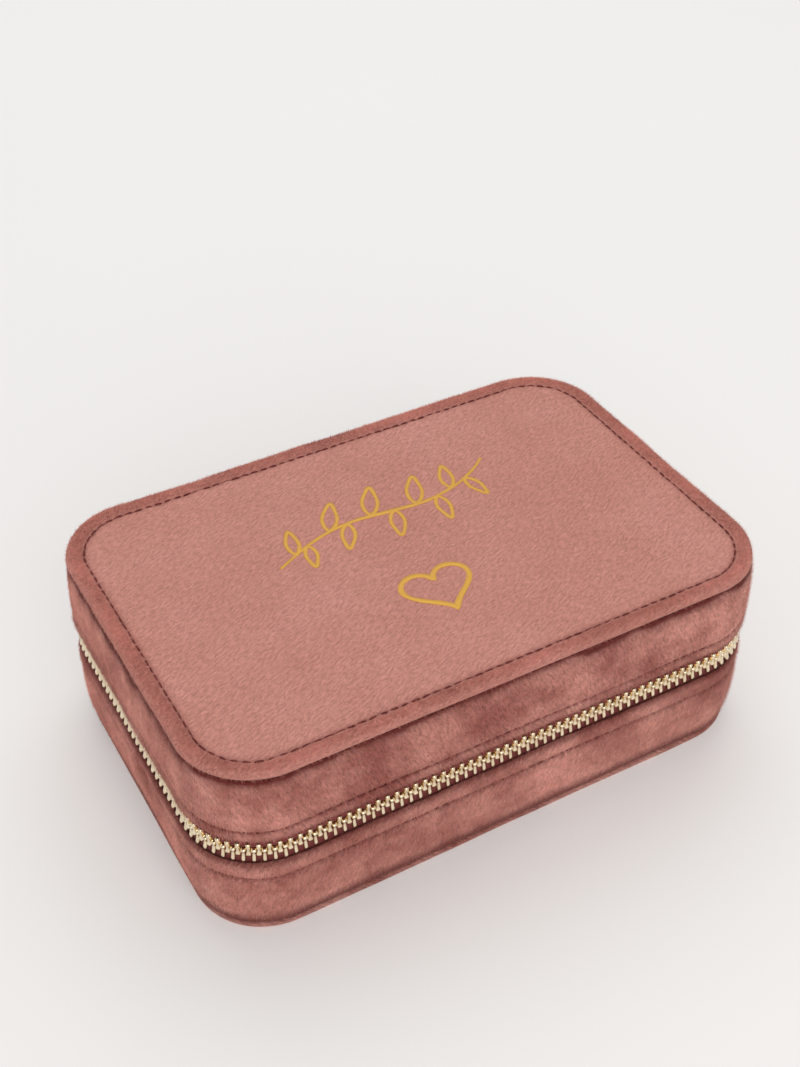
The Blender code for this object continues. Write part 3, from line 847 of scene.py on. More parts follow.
@dataclass(frozen=True)
class Woven(Finish):
    """Plain or slanted weave."""

    # Colour of the painted shade in the gaps between threads.
    gap: Triple = (0.02, 0.004, 0.004)
    thread: float = 0.0004
    slant: float = 0.0
    depth: float = 0.00012
    sheen: float = 0.1

    def make(self, weave: NodeTree) -> Material:
        """Builds the material from the shared weave group.

        Args:
            weave: the shared weave group.

        Returns:
            The material.
        """
        material, b, shader = self.start()
        flat = self.flat_map(b)
        cloth = self.group(b, weave, {"Flat Map": flat, "Thread": self.thread, "Slant": self.slant})
        cloud = b.steps(b.noise(self.place(b), 160.0, 3.0), 0.3, 0.7, 0.82, 1.12)
        grey = b.put("ShaderNodeCombineColor", {0: cloud, 1: cloud, 2: cloud}).outputs[0]
        color = b.blend(1.0, self.tint, grey, "MULTIPLY")
        # Painted shade: the gap mask darkens the weave between its threads.
        color = b.blend(b.math("MULTIPLY", cloth.outputs["Gaps"], 0.75), color, self.gap)
        b.feed(shader.inputs["Base Color"], color)
        b.feed(shader.inputs["Normal"], self.bump(b, cloth.outputs["Height"], self.depth))
        shader.inputs["Sheen Weight"].default_value = self.sheen
        shader.inputs["Specular IOR Level"].default_value = 0.25
        return material


@dataclass(frozen=True)
class Metal(Finish):
    """Plated metal or foil, cloudy and lightly scuffed."""

    dull: Triple = (0.5, 0.36, 0.2)
    metallic: float = 1.0
    cloud: float = 0.004
    scuff: float = 0.0004
    depth: float = 0.00002

    def make(self, wear: NodeTree) -> Material:
        """Builds the material from the shared wear group.

        Args:
            wear: the shared wear group.

        Returns:
            The material.
        """
        material, b, shader = self.start()
        rub = self.group(b, wear,
                         {"Place": self.place(b), "Cloud Size": self.cloud, "Scuff Size": self.scuff})
        share = b.math("MULTIPLY", rub.outputs["Clouds"], 0.45)
        b.feed(shader.inputs["Base Color"], b.blend(share, self.tint, self.dull))
        low, high = self.roughness * 0.75, self.roughness * 1.35
        b.feed(shader.inputs["Roughness"], b.steps(rub.outputs["Scuffs"], 0.0, 1.0, low, high))
        b.feed(shader.inputs["Normal"], self.bump(b, rub.outputs["Height"], self.depth))
        shader.inputs["Metallic"].default_value = self.metallic
        return material


@dataclass(frozen=True)
class Speckled(Finish):
    """Board, foam, leather or thread: a fine grain over one colour."""

    spot: Triple = (0.2, 0.17, 0.14)
    grain: float = 0.0006
    depth: float = 0.00005
    share: float = 0.5

    def make(self, wear: NodeTree) -> Material:
        """Builds the material from the shared wear group.

        Args:
            wear: the shared wear group.

        Returns:
            The material.
        """
        material, b, shader = self.start()
        rub = self.group(b, wear,
                         {"Place": self.place(b), "Cloud Size": self.grain * 6, "Scuff Size": self.grain})
        color = b.blend(b.math("MULTIPLY", rub.outputs["Scuffs"], self.share), self.tint, self.spot)
        color = b.blend(b.math("MULTIPLY", rub.outputs["Clouds"], self.share / 2), color, self.spot)
        b.feed(shader.inputs["Base Color"], color)
        b.feed(shader.inputs["Normal"], self.bump(b, rub.outputs["Height"], self.depth))
        shader.inputs["Specular IOR Level"].default_value = 0.3
        return material


@dataclass
class Finishes:
    """Every finish of the case, each built once."""

    velvet: Material = field(init=False)
    brushed: Material = field(init=False)
    fibre: Material = field(init=False)
    plush: Material = field(init=False)
    lining: Material = field(init=False)
    tape: Material = field(init=False)
    elastic: Material = field(init=False)
    gold: Material = field(init=False)
    foil: Material = field(init=False)
    thread: Material = field(init=False)
    leather: Material = field(init=False)
    board: Material = field(init=False)
    foam: Material = field(init=False)

    def __post_init__(self) -> None:
        """Builds the shared groups and the materials."""
        nap, weave, wear = nap_group(), weave_group(), wear_group()
        self.velvet = Velvet("rose_velvet", (0.6, 0.26, 0.2), deep=(0.57, 0.24, 0.19),
                             light=(0.67, 0.305, 0.26),
                             lie=-24.0, streak=0.0016, patch=0.035, patch_depth=0.55,
                             streak_low=0.76, streak_high=1.2, depth=0.0008).make(nap)
        # Darker copy of the velvet for the side bands, the gusset and the underside: its combed nap and
        # patches are the cloth's own, its darker tones are painted shade on the sides.
        self.brushed = Velvet("combed_and_shaded_velvet", (0.5, 0.2, 0.16), deep=(0.34, 0.108, 0.09),
                              light=(0.68, 0.33, 0.275), lie=65.0, streak=0.0018, patch_depth=1.0,
                              streak_low=0.5, streak_high=1.34, depth=0.001).make(nap)
        # Lighter copy of the velvet for the grown edge fibres: a painted highlight on the fuzzy edges.
        self.fibre = Velvet("velvet_fibre", (0.5, 0.2, 0.16), deep=(0.52, 0.2, 0.16),
                            light=(0.86, 0.42, 0.35),
                            patch_depth=1.0, streak_high=1.15, mapped=False).make(nap)
        self.plush = Velvet("inner_plush", (0.5, 0.25, 0.2), deep=(0.36, 0.16, 0.13),
                            light=(0.66, 0.38, 0.33),
                            streak=0.0008, patch=0.012, patch_depth=0.35, mapped=False).make(nap)
        self.lining = Woven("lining_cloth", (0.55, 0.31, 0.27), gap=(0.3, 0.13, 0.11), thread=0.00022,
                            depth=0.00005, sheen=0.35).make(weave)
        self.tape = Woven("wine_tape", (0.2, 0.032, 0.028), gap=(0.05, 0.007, 0.006), thread=0.00045,
                          slant=38.0).make(weave)
        self.elastic = Woven("elastic_band", (0.36, 0.15, 0.13), gap=(0.16, 0.05, 0.045),
                             thread=0.0004).make(weave)
        self.gold = Metal("pale_gold", (0.95, 0.82, 0.6), 0.14, dull=(0.6, 0.44, 0.26)).make(wear)
        self.foil = Metal("gold_foil", (0.66, 0.35, 0.035), 0.45, dull=(0.58, 0.29, 0.03), metallic=0.25,
                          cloud=0.006, depth=0.00004).make(wear)
        # Painted shade: the thread is tinted dark wine so that the stitch lines read as shaded creases and
        # pits.
        self.thread = Speckled("sewing_thread", (0.17, 0.022, 0.02), 0.7, spot=(0.07, 0.007, 0.007),
                               grain=0.0002).make(wear)
        self.leather = Speckled("strip_leather", (0.26, 0.1, 0.08), 0.5, spot=(0.13, 0.04, 0.03),
                                grain=0.0005).make(wear)
        self.board = Speckled("papered_board", (0.2, 0.09, 0.08), 0.9, spot=(0.12, 0.05, 0.045),
                              grain=0.0007).make(wear)
        self.foam = Speckled("thin_foam", (0.85, 0.82, 0.76), 0.95, spot=(0.6, 0.56, 0.5),
                             grain=0.0005).make(wear)

    def redress(self, nodes: dict[str, Material]) -> None:
        """Gives CAD nodes that stay visible their finish.

        Args:
            nodes: finish by node name.
        """
        for name, material in nodes.items():
            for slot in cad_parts[name].material_slots:
                slot.material = material
            log.info("redressed %s", name)


# ---------------------------------------------------------------- repeated items


class ItemSpreader:
    """A Geometry Nodes tree that sets copies of one item on a carrier, where its kind's spots say."""

    label: str = ""
    sockets: tuple[tuple[str, str], ...] = ()

    def __init__(self) -> None:
        """Builds the tree with named inputs."""
        self.tree = bpy.data.node_groups.new(self.label, "GeometryNodeTree")
        face = self.tree.interface
        face.new_socket(name="Geometry", in_out="INPUT", socket_type="NodeSocketGeometry")
        for label, kind in (("Item", "Object"), *self.sockets, ("Seed", "Int"), ("Finish", "Material")):
            face.new_socket(name=label, in_out="INPUT", socket_type=f"NodeSocket{kind}")
        face.new_socket(name="Geometry", in_out="OUTPUT", socket_type="NodeSocketGeometry")
        b = NodeBench(self.tree)
        inlet, outlet = b.put("NodeGroupInput"), b.put("NodeGroupOutput")
        item = b.put("GeometryNodeObjectInfo", {"Object": inlet.outputs["Item"]})
        spots = self.spots(b, inlet.outputs)
        copies = b.put("GeometryNodeInstanceOnPoints", {**spots, "Instance": item.outputs["Geometry"]})
        real = b.put("GeometryNodeRealizeInstances", {0: copies.outputs[0]})
        dressed = b.put("GeometryNodeSetMaterial",
                        {0: real.outputs[0], "Material": inlet.outputs["Finish"]})
        b.feed(outlet.inputs[0], dressed.outputs[0])

    def run(self, name: str, carrier: Object, values: dict[str, object]) -> Object:
        """Sets the copies on a carrier.

        Args:
            name: the piece's name.
            carrier: the object whose mesh says where the copies go.
            values: the tree's inputs by name.

        Returns:
            A plain mesh object with all the copies.
        """
        change = carrier.modifiers.new("copies", "NODES")
        change.node_group = self.tree
        for socket in self.tree.interface.items_tree:
            if socket.in_out == "INPUT" and socket.name in values:
                change[socket.identifier] = values[socket.name]
        bpy.context.view_layer.update()
        solid = baked(carrier)
        carrier.modifiers.clear()
        solid.name = name
        return link(name, solid)


class PathRepeater(ItemSpreader):
    """Sets copies of one item along a path."""

    label = "items_along_path"
    sockets = (("Count", "Int"), ("Tilt", "Float"), ("Size Change", "Float"))

    def spots(self, b: NodeBench, given: object) -> dict[str, NodeSocket]:
        """Wires even points on the path, with a random tilt and size.

        Args:
            b: the tree's bench.
            given: the tree's named inputs.

        Returns:
            Sockets for the Points, Rotation and Scale of the copies.
        """
        curve = b.put("GeometryNodeMeshToCurve", {0: given["Geometry"]})
        even = b.put("GeometryNodeResampleCurve", {"Curve": curve.outputs[0], "Count": given["Count"]})
        ahead = b.put("GeometryNodeInputTangent")
        face_on = b.put(
            "FunctionNodeAlignRotationToVector", {"Vector": ahead.outputs[0]}, axis="X", pivot_axis="Z")
        tilt = b.chance(b.math("MULTIPLY", given["Tilt"], -1.0), given["Tilt"], given["Seed"])
        lean = b.put("ShaderNodeCombineXYZ", {2: tilt})
        turn = b.put(
            "FunctionNodeRotateRotation", {0: face_on.outputs[0], 1: lean.outputs[0]},
            rotation_space="LOCAL")
        most = given["Size Change"]
        change = b.chance(b.math("MULTIPLY", most, -1.0), most, b.math("ADD", given["Seed"], 7))
        return {"Points": even.outputs[0], "Rotation": turn.outputs[0], "Scale": b.math("ADD", change, 1.0)}

    def lay(self, name: str, path: np.ndarray, item: Object, count: int, finish: Material,
            tilt: float = 0.0, change: float = 0.0, seed: int = 1) -> Object:
        """Sets copies of an item along a path.

        Args:
            name: the piece's name.
            path: (points, 3) the path, first and last copies at its ends.
            item: one copy, with X along the path and Y outwards. It is used up.
            count: how many copies.
            finish: their material.
            tilt: random turn each way, in radians.
            change: random change of size each way.
            seed: which chance.

        Returns:
            A plain mesh object with all the copies.
        """
        line = bpy.data.meshes.new(f"{name}_path")
        line.from_pydata(path.tolist(), [(k, k + 1) for k in range(len(path) - 1)], [])
        rail = link(f"{name}_path", line)
        thing = self.run(name, rail, {
            "Item": item, "Count": count, "Tilt": tilt, "Size Change": change, "Seed": seed,
            "Finish": finish})
        bpy.data.objects.remove(rail)
        bpy.data.objects.remove(item)
        return thing


class StitchLine:
    """Rows of sewing stitches along a path."""

    length: float = 1.9 * MM
    thick: float = 0.34 * MM
    pitch: float = 2.8 * MM

    def __init__(self, repeater: PathRepeater) -> None:
        """Keeps the shared tree."""
        self.repeater = repeater

    def stitch(self) -> Object:
        """One thread loop that dips into the cloth at both ends.

        Returns:
            The stitch, with X along the seam.
        """
        line = [(-self.length / 2, 0, -0.35 * self.thick), (-self.length / 4, 0, 0.25 * self.thick),
                (self.length / 4, 0, 0.25 * self.thick), (self.length / 2, 0, -0.35 * self.thick)]
        points = tube(smooth_line(line, 5), circle(self.thick / 2, 6), False, Vector((0, 0, 1)))
        return Grid(points, close_ends=True).piece("stitch_item", None)

    def sew(self, name: str, path: np.ndarray, finish: Material, seed: int,
            on_wall: bool = False) -> Object:
        """Sews along a path.

        Args:
            name: the piece's name.
            path: (points, 3) the seam.
            finish: the thread.
            seed: which chance.
            on_wall: whether the cloth stands upright, so the stitches lie against it.

        Returns:
            The stitches as one piece.
        """
        item = self.stitch()
        if on_wall:
            item.data.transform(Matrix.Rotation(-math.pi / 2, 4, "X"))
        reach = float(np.linalg.norm(np.diff(path, axis=0), axis=1).sum())
        count = max(2, round(reach / self.pitch))
        return self.repeater.lay(name, path, item, count, finish, 0.08, 0.1, seed)


class PileGrower(ItemSpreader):
    """Grows short, combed fibres where the cloth's pile attribute asks for them."""

    label = "combed_pile"
    sockets = (("Density", "Float"), ("Comb", "Vector"), ("Mess", "Float"))
    half_width: float = 0.055 * MM
    mess: float = 0.45

    def spots(self, b: NodeBench, given: object) -> dict[str, NodeSocket]:
        """Wires random points on the cloth, leaning with the comb.

        Args:
            b: the tree's bench.
            given: the tree's named inputs.

        Returns:
            Sockets for the Points, Rotation and Scale of the copies.
        """
        wanted = b.put("GeometryNodeInputNamedAttribute", {"Name": "pile"}, data_type="FLOAT")
        density = b.math("MULTIPLY", b.live(wanted.outputs, "Attribute"), given["Density"])
        roots = b.put("GeometryNodeDistributePointsOnFaces",
                      {"Mesh": given["Geometry"], "Seed": given["Seed"]})
        b.feed(b.live(roots.inputs, "Density"), density)
        chance = b.chance((-1.0, -1.0, -1.0), (1.0, 1.0, 1.0), given["Seed"], "FLOAT_VECTOR")
        wild = b.put("ShaderNodeVectorMath", {0: chance, "Scale": given["Mess"]}, operation="SCALE")
        way = b.put("ShaderNodeVectorMath", {0: roots.outputs["Normal"], 1: given["Comb"]}, operation="ADD")
        way = b.put("ShaderNodeVectorMath", {0: way.outputs[0], 1: wild.outputs[0]}, operation="ADD")
        lean = b.put("FunctionNodeAlignRotationToVector", {"Vector": way.outputs[0]}, axis="Z")
        size = b.chance(0.6, 1.25, given["Seed"])
        return {"Points": roots.outputs["Points"], "Rotation": lean.outputs[0], "Scale": size}

    def grow(self, name: str, cloth: Object, finish: Material, density: float,
             comb: Triple, length: float, seed: int) -> Object:
        """Grows fibres on a cloth piece.

        Args:
            name: the piece's name.
            cloth: the cloth, with a pile attribute.
            finish: the fibres' material.
            density: fibres for each square metre where the attribute is 1.
            comb: which way the pile is combed; longer lies flatter.
            length: a fibre's length.
            seed: which chance.

        Returns:
            All the fibres as one plain mesh.
        """
        blade = bpy.data.meshes.new("fibre_item")
        half, root = self.half_width, -0.1 * length
        blade.from_pydata([(-half, 0, root), (half, 0, root), (0, 0.08 * length, length)], [], [(0, 1, 2)])
        fibre = link("fibre_item", blade)
        pile = self.run(name, cloth, {
            "Item": fibre, "Density": density, "Comb": comb, "Mess": self.mess, "Seed": seed,
            "Finish": finish})
        bpy.data.objects.remove(fibre)
        log.info("grew %s with %d fibres", name, len(pile.data.polygons))
        return pile


# ---------------------------------------------------------------- outside


@dataclass
class VelvetShell:
    """The velvet outside: top panel, two side bands and bottom panel, with their topstitching."""

    outline: CaseOutline
    finishes: Finishes
    sewing: StitchLine
    grower: PileGrower
    height: float
    base_rim: float
    lid_rim: float
    stations: int = 1068
    top_stitch_inset: float = 5.1 * MM
    lid_stitch: float = 3.2 * MM
    base_stitch: float = 5.2 * MM

    def pucker(self, runs: np.ndarray, pitch: float) -> np.ndarray:
        """How deep the thread pulls the cloth at each station, 0 to 1."""
        return 0.5 + 0.5 * np.cos(2 * math.pi * runs / pitch)

    def crown(self, points: np.ndarray) -> np.ndarray:
        """How the flat of the lid rises and dips.

        Args:
            points: (..., 3) places on the lid.

        Returns:
            The rise at each place.
        """
        inset = self.outline.inset_of(points[..., 0], points[..., 1])
        ease = held((inset - self.top_stitch_inset) / (20 * MM))
        flat = points * FLAT
        swell = 0.25 * MM + 0.10 * MM * ripple(flat, 0.05, 0.12, 11)
        return ease * swell + 0.02 * MM * ripple(flat, 0.006, 0.014, 12)

    def lid_face(self, x: np.ndarray, y: np.ndarray) -> np.ndarray:
        """Height of the lid's velvet, for what lies on it.

        Args:
            x: places along the case.
            y: places across it.

        Returns:
            Heights.
        """
        points = np.stack([x, y, np.zeros_like(x)], -1)
        return self.height - 0.32 * MM + self.crown(points)

    def panel(self, name: str, profile: Pairs, rows: int, seam: float, up: int, seed: int) -> Object:
        """A panel with a rolled edge, from the hidden side round the edge and in to its middle.

        Args:
            name: the piece's name.
            profile: (inset, height) points in millimetres, the last one on the visible flat.
            rows: rows along the profile.
            seam: inset of the topstitching.
            up: 1 for the lid's top and -1 for the underside.
            seed: which unevenness.

        Returns:
            The panel.
        """
        runs = self.outline.spread(self.stations, seam)
        line = smooth_line(profile, rows) * MM
        inset = np.repeat(line[:, :1], len(runs), 1)
        height = np.repeat(line[:, 1:], len(runs), 1)
        points = wrap(self.outline, runs, inset, height)
        reach = np.arange(rows)[:, None] / (rows - 1)
        visible = held((reach - 0.15) / 0.2)
        loose = np.clip(0.75 + 0.35 * ripple(points[-1:], 0.01, 0.04, seed + 5), 0.25, 1)
        pull = self.pucker(np.arange(len(runs))[None], 6.0) * loose
        wide = ripple(points, 0.012, 0.05, seed) * 0.2 * MM
        wrinkle = ripple(points, 0.0025, 0.007, seed + 1) * near(inset, seam, 2.6 * MM) * 0.09 * MM
        groove = near(inset, seam, 0.45 * MM) * (0.16 * pull - 0.02) * MM * held((reach - 0.4) * 5)
        inset = inset - visible * near(inset, 0.0, 3 * MM) * wide
        height = height + up * (visible * wrinkle - groove)
        rings = wrap(self.outline, runs, inset, height)
        middle = rings[-1] * FLAT
        inner = [middle * share + np.array([0, 0, line[-1, 1]])
                 for share in np.linspace(1, 0, 16)[1:-1] ** 0.9]
        outer_back = [rings[0] * np.array([share, share, 1.0]) for share in (0.25, 0.7)]
        points = np.concatenate([np.array(outer_back), rings, np.array(inner)])
        if up > 0:
            points[2:, :, 2] += self.crown(points[2:])
        else:
            points[2:, :, 2] += 0.05 * MM * (1 + np.clip(ripple(points[2:], 0.03, 0.08, seed + 2), -1, 1))
        # Painted shade: darkens the topstitch groove and its pits, a band round the seam and the rolled
        # edge's hidden underside.
        dark = near(inset, seam, 0.32 * MM) * (0.35 + 0.5 * pull) * held((reach - 0.4) * 5)
        dark = dark + 0.8 * held(1 - reach / 0.3)
        dark = dark + 0.25 * near(inset, seam, 1.1 * MM) * held((reach - 0.4) * 5)
        shade = np.concatenate([np.ones((2, len(runs))), dark, np.zeros((len(inner), len(runs)))])
        fuzz = visible * held((seam - 0.4 * MM - inset) / (0.5 * MM))
        pile = np.concatenate([np.zeros((2, len(runs))), fuzz, np.zeros((len(inner), len(runs)))])
        finish = self.finishes.velvet if up > 0 else self.finishes.brushed
        grid = Grid(points, close_ends=True, shade=held(shade), pile=pile, plan=True)
        return grid.piece(name, finish)

    def band(self, name: str, profile: Pairs, rows: int, rim: float, stitch: float, seed: int) -> Object:
        """A side band with a hemmed rim.

        Args:
            name: the piece's name.
            profile: closed (inset, height) points in millimetres, from the far edge down the outside and
                back inside.
            rows: rows along the profile.
            rim: height of the rim.
            stitch: height of the topstitching.
            seed: which unevenness.

        Returns:
            The band.
        """
        runs = self.outline.spread(self.stations)
        line = smooth_line([*profile, profile[0]], rows + 1)[:-1] * MM
        inset = np.repeat(line[:, :1], len(runs), 1)
        height = np.repeat(line[:, 1:], len(runs), 1)
        points = wrap(self.outline, runs, inset, height)
        outside = held((1.0 * MM - inset) / (0.4 * MM))
        loose = np.clip(0.6 + 0.5 * ripple(points[:1], 0.01, 0.04, seed + 5), 0.0, 1)
        pull = self.pucker(np.arange(len(runs))[None], 6.0) * loose
        puff = ripple(points * np.array([1, 1, 0.5]), 0.006, 0.016, seed) * 0.10 * MM
        hem = near(height, (rim + stitch) / 2, abs(rim - stitch) * 0.45)
        pinch = near(height, stitch, 0.5 * MM) * (0.06 + 0.2 * pull) * MM
        soft = ripple(points, 0.03, 0.07, seed + 1) * 0.12 * MM
        inset = inset + outside * (pinch - hem * puff - soft * (1 - hem))
        foot = wrap(self.outline, runs, np.zeros((1, 1)), np.zeros((1, 1)))
        height = height + ripple(foot, 0.008, 0.03, seed + 2) * 0.13 * MM * near(height, rim, 1.6 * MM)
        uneven = ripple(points * FLAT, 0.01, 0.04, seed + 3) * 0.10 * MM
        height = height + uneven * near(height, line[0, 1], 2 * MM)
        far = line[:, 1].max() if line[0, 1] > rim else line[:, 1].min()
        crease = far + ripple(points * FLAT, 0.004, 0.02, seed + 4) * 0.35 * MM
        # Painted shade: darkens the stitch line and its pits, the rim at the zip slot, the crease at the
        # band's far edge under the lid's flange or over the bottom panel, and the band's hidden inner face.
        dark = near(height, stitch, 0.34 * MM) * (0.5 + 0.45 * pull) * outside
        dark = dark + 0.2 * near(height, stitch, 1.3 * MM) + 0.7 * near(height, rim, 1.1 * MM)
        dark = dark + 0.95 * near(height, crease, 1.1 * MM) + 0.35 * near(height, crease, 2.8 * MM)
        dark = np.maximum(dark, 1 - outside)
        fuzz = outside * (1 - near(height, stitch, 0.6 * MM)) * (1 - near(height, far, 0.8 * MM))
        points = wrap(self.outline, runs, inset, height)
        grid = Grid(points, round_rows=True, shade=held(dark), pile=fuzz)
        return grid.piece(name, self.finishes.brushed)

    def seam(self, name: str, inset: float, height: float, body: str, seed: int, on_wall: bool) -> None:
        """Sews a stitch line right round the case at an inset and a height.

        Args:
            name: the piece's name.
            inset: its inset.
            height: its height.
            body: the body that carries it.
            seed: which chance.
            on_wall: whether the cloth stands upright.
        """
        runs = np.append(self.outline.spread(720, inset), self.outline.total)
        path = wrap(self.outline, runs, np.full((1, 1), inset), np.full((1, 1), height))[0]
        if not on_wall:
            path[:, 2] += self.crown(path) if height > self.base_rim else 0.0
        piece = self.sewing.sew(name, path[: -3], self.finishes.thread, seed, on_wall)
        mount(piece, body)

    def build(self) -> None:
        """Makes the four velvet pieces and their topstitching."""
        top = self.height / MM
        panel = self.panel("lid_top_velvet", [
            (3.0, top - 2.5), (2.1, top - 2.45), (1.75, top - 2.0), (1.55, top - 1.72), (1.1, top - 1.62),
            (0.72, top - 1.4),
            (0.5, top - 0.95), (0.62, top - 0.45), (1.05, top - 0.12), (1.8, top + 0.05), (2.7, top + 0.06),
            (3.7, top - 0.06), (4.6, top - 0.26), (5.1, top - 0.42), (5.6, top - 0.32), (6.6, top - 0.22),
            (9.0, top - 0.28), (12.0, top - 0.32)], 46, self.top_stitch_inset, 1, 21)
        mount(panel, "lid", "lid_top_panel")
        rim = self.lid_rim / MM
        upper = self.band("lid_band_velvet", [
            (1.45, top - 2.2), (1.2, top - 1.85), (0.85, top - 1.95), (0.62, top - 2.5), (0.42, top - 4),
            (0.2, top - 7),
            (0.04, top - 11), (-0.04, top - 15), (0.02, rim + 4.4), (0.16, rim + 3.7), (0.34, rim + 3.2),
            (0.16, rim + 2.7), (-0.06, rim + 2.0), (-0.12, rim + 1.2), (-0.02, rim + 0.5),
            (0.28, rim + 0.02),
            (0.75, rim - 0.06), (1.1, rim + 0.3), (1.2, rim + 1.5), (1.2, rim + 6), (1.25, top - 9),
            (1.5, top - 4)],
            58, self.lid_rim, self.lid_rim + self.lid_stitch, 31)
        mount(upper, "lid", "lid_side_band")
        rim = self.base_rim / MM
        lower = self.band("base_band_velvet", [
            (1.85, 3.1), (1.55, 2.62), (1.22, 2.72), (1.02, 3.3), (0.84, 5), (0.5, 8), (0.22, 11),
            (0.04, 14),
            (0.0, rim - 6.6), (0.12, rim - 5.8), (0.34, rim - 5.2), (0.14, rim - 4.6), (-0.06, rim - 3.8),
            (-0.14, rim - 2.6), (-0.12, rim - 1.5), (0.02, rim - 0.6), (0.32, rim - 0.05),
            (0.75, rim + 0.05),
            (1.1, rim - 0.3), (1.2, rim - 1.5), (1.2, rim - 8), (1.35, 10), (1.75, 5)],
            58, self.base_rim, self.base_rim - self.base_stitch, 41)
        mount(lower, "base", "base_side_band")
        floor = self.panel("base_bottom_velvet", [
            (3.4, 2.5), (2.4, 2.5), (1.95, 2.4), (1.5, 2.25), (1.22, 1.85), (1.18, 1.2), (1.35, 0.6),
            (1.75, 0.18),
            (2.3, 0.02), (3.4, 0.06), (4.4, 0.2), (5.0, 0.34), (5.6, 0.24), (7.0, 0.12), (12.0, 0.14)],
            34, 5.0 * MM, -1, 51)
        mount(floor, "base", "base_bottom_panel")
        self.seam("lid_top_stitching", self.top_stitch_inset, self.height - 0.38 * MM, "lid", 61, False)
        self.seam("lid_band_stitching", 0.36 * MM, self.lid_rim + self.lid_stitch, "lid", 62, True)
        self.seam("base_band_stitching", 0.36 * MM, self.base_rim - self.base_stitch, "base", 63, True)
        for piece, name, body, density, comb, length in (
                (panel, "lid_edge_pile", "lid", 2.2e7, (0.5, -0.4, -0.3), 0.75 * MM),
                (upper, "lid_band_pile", "lid", 1.0e7, (0.4, -0.2, -1.0), 0.95 * MM),
                (lower, "base_band_pile", "base", 1.0e7, (0.4, -0.2, -1.0), 0.95 * MM)):
            seed = 70 + len(name)
            pile = self.grower.grow(name, piece, self.finishes.fibre, density, comb, length, seed)
            mount(pile, body)


@dataclass
class FoilSprig:
    """A leafy sprig and an open heart in gold foil, of a plain design of their own, pressed on the lid."""

    shell: VelvetShell
    finishes: Finishes
    center: tuple[float, float] = (1.0 * MM, 15.5 * MM)
    heart_center: tuple[float, float] = (-1.4 * MM, -17.2 * MM)
    heart_width: float = 18.6 * MM
    thick: float = 0.12 * MM

    def ribbon(self, line: Pairs, widths: Triple, count: int = 90,
               closed: bool = False) -> Object:
        """A flat stroke that follows the velvet.

        Args:
            line: its middle line on the lid.
            widths: its width at the start, the middle and the end.
            count: points along it.
            closed: whether it closes on itself.

        Returns:
            A thin solid.
        """
        middle = smooth_line([*line, line[0]] if closed else line, count + (1 if closed else 0))
        if closed:
            middle = middle[:-1]
            ahead = np.roll(middle, -1, 0) - np.roll(middle, 1, 0)
        else:
            ahead = np.gradient(middle, axis=0)
        ahead /= np.linalg.norm(ahead, axis=1)[:, None]
        side = np.stack([-ahead[:, 1], ahead[:, 0]], 1)
        t = np.linspace(0, 1, len(middle))
        wide = np.interp(t, [0, 0.5, 1], widths)[:, None] / 2
        wide *= 1 + 0.06 * ripple(np.stack([t * 0.08, t * 0, t * 0], 1), 0.004, 0.012, 71)[:, None]
        rows = []
        for share, lift in ((1.0, -0.4), (1.0, 0.55), (0.86, 1.0), (0.0, 1.05), (-0.86, 1.0), (-1.0, 0.55),
                            (-1.0, -0.4), (0.0, -0.4)):
            spot = middle + side * wide * share
            z = self.shell.lid_face(spot[:, 0], spot[:, 1]) + lift * self.thick
            rows.append(np.concatenate([spot, z[:, None]], 1))
        grid = Grid(np.array(rows), round_columns=closed, round_rows=True, close_ends=not closed)
        return grid.piece("foil_stroke", self.finishes.foil, 50)

    def leaf(self, root: tuple[float, float], angle: float, length: float, width: float) -> Object:
        """An outlined leaf.

        Args:
            root: where it leaves the stem.
            angle: which way it points.
            length: from root to tip.
            width: across its middle.

        Returns:
            The leaf's outline as one closed stroke.
        """
        across = [(0.0, 0.0), (0.18, 0.34), (0.45, 0.5), (0.74, 0.34), (1.0, 0.0), (0.74, -0.3),
                  (0.45, -0.46), (0.18, -0.32)]
        c, d = math.cos(angle), math.sin(angle)
        line = [(root[0] + u * length * c - v * width * d, root[1] + u * length * d + v * width * c)
                for u, v in across]
        return self.ribbon(line, (1.05 * MM, 1.05 * MM, 1.05 * MM), 70, True)

    def build(self) -> None:
        """Makes the sprig and the heart as one piece."""
        cx, cy = self.center
        stem = [(-34, -7.5), (-26, -3.6), (-17, -0.6), (-8, 0.2), (2, -0.9), (12, -1.6), (22, 0.4),
                (30, 4.2), (34.5, 7.6)]
        strokes = [self.ribbon([(cx + x * MM, cy + y * MM) for x, y in stem],
                               (0.8 * MM, 1.3 * MM, 0.7 * MM), 200)]
        leaves = [(-28, -4.6, 78, 9.5), (-24, -2.8, 258, 8.5), (-16.5, -0.5, 62, 11.5),
                  (-11, 0.1, 246, 10.0), (-4, 0.0, 64, 12.0),
                  (2.5, -0.9, 252, 10.5), (9, -1.5, 66, 12.0), (15.5, -1.2, 262, 10.0),
                  (20.5, 0.1, 74, 10.0), (26, 2.1, 282, 9.0)]
        for x, y, angle, length in leaves:
            strokes.append(self.leaf((cx + x * MM, cy + y * MM), math.radians(angle), length * MM,
                                     0.36 * length * MM))
        hx, hy = self.heart_center
        half = self.heart_width / 2
        heart = []
        for step in range(36):
            a = 2 * math.pi * (step + 0.5) / 36
            x = math.sin(a) ** 3
            y = (13 * math.cos(a) - 5 * math.cos(2 * a) - 2 * math.cos(3 * a) - math.cos(4 * a)) / 16
            heart.append((hx + half * x, hy + half * 0.93 * y))
        strokes.append(self.ribbon(heart, (1.5 * MM, 1.5 * MM, 1.5 * MM), 160, True))
        mount(join("gold_foil_sprig", strokes), "lid")


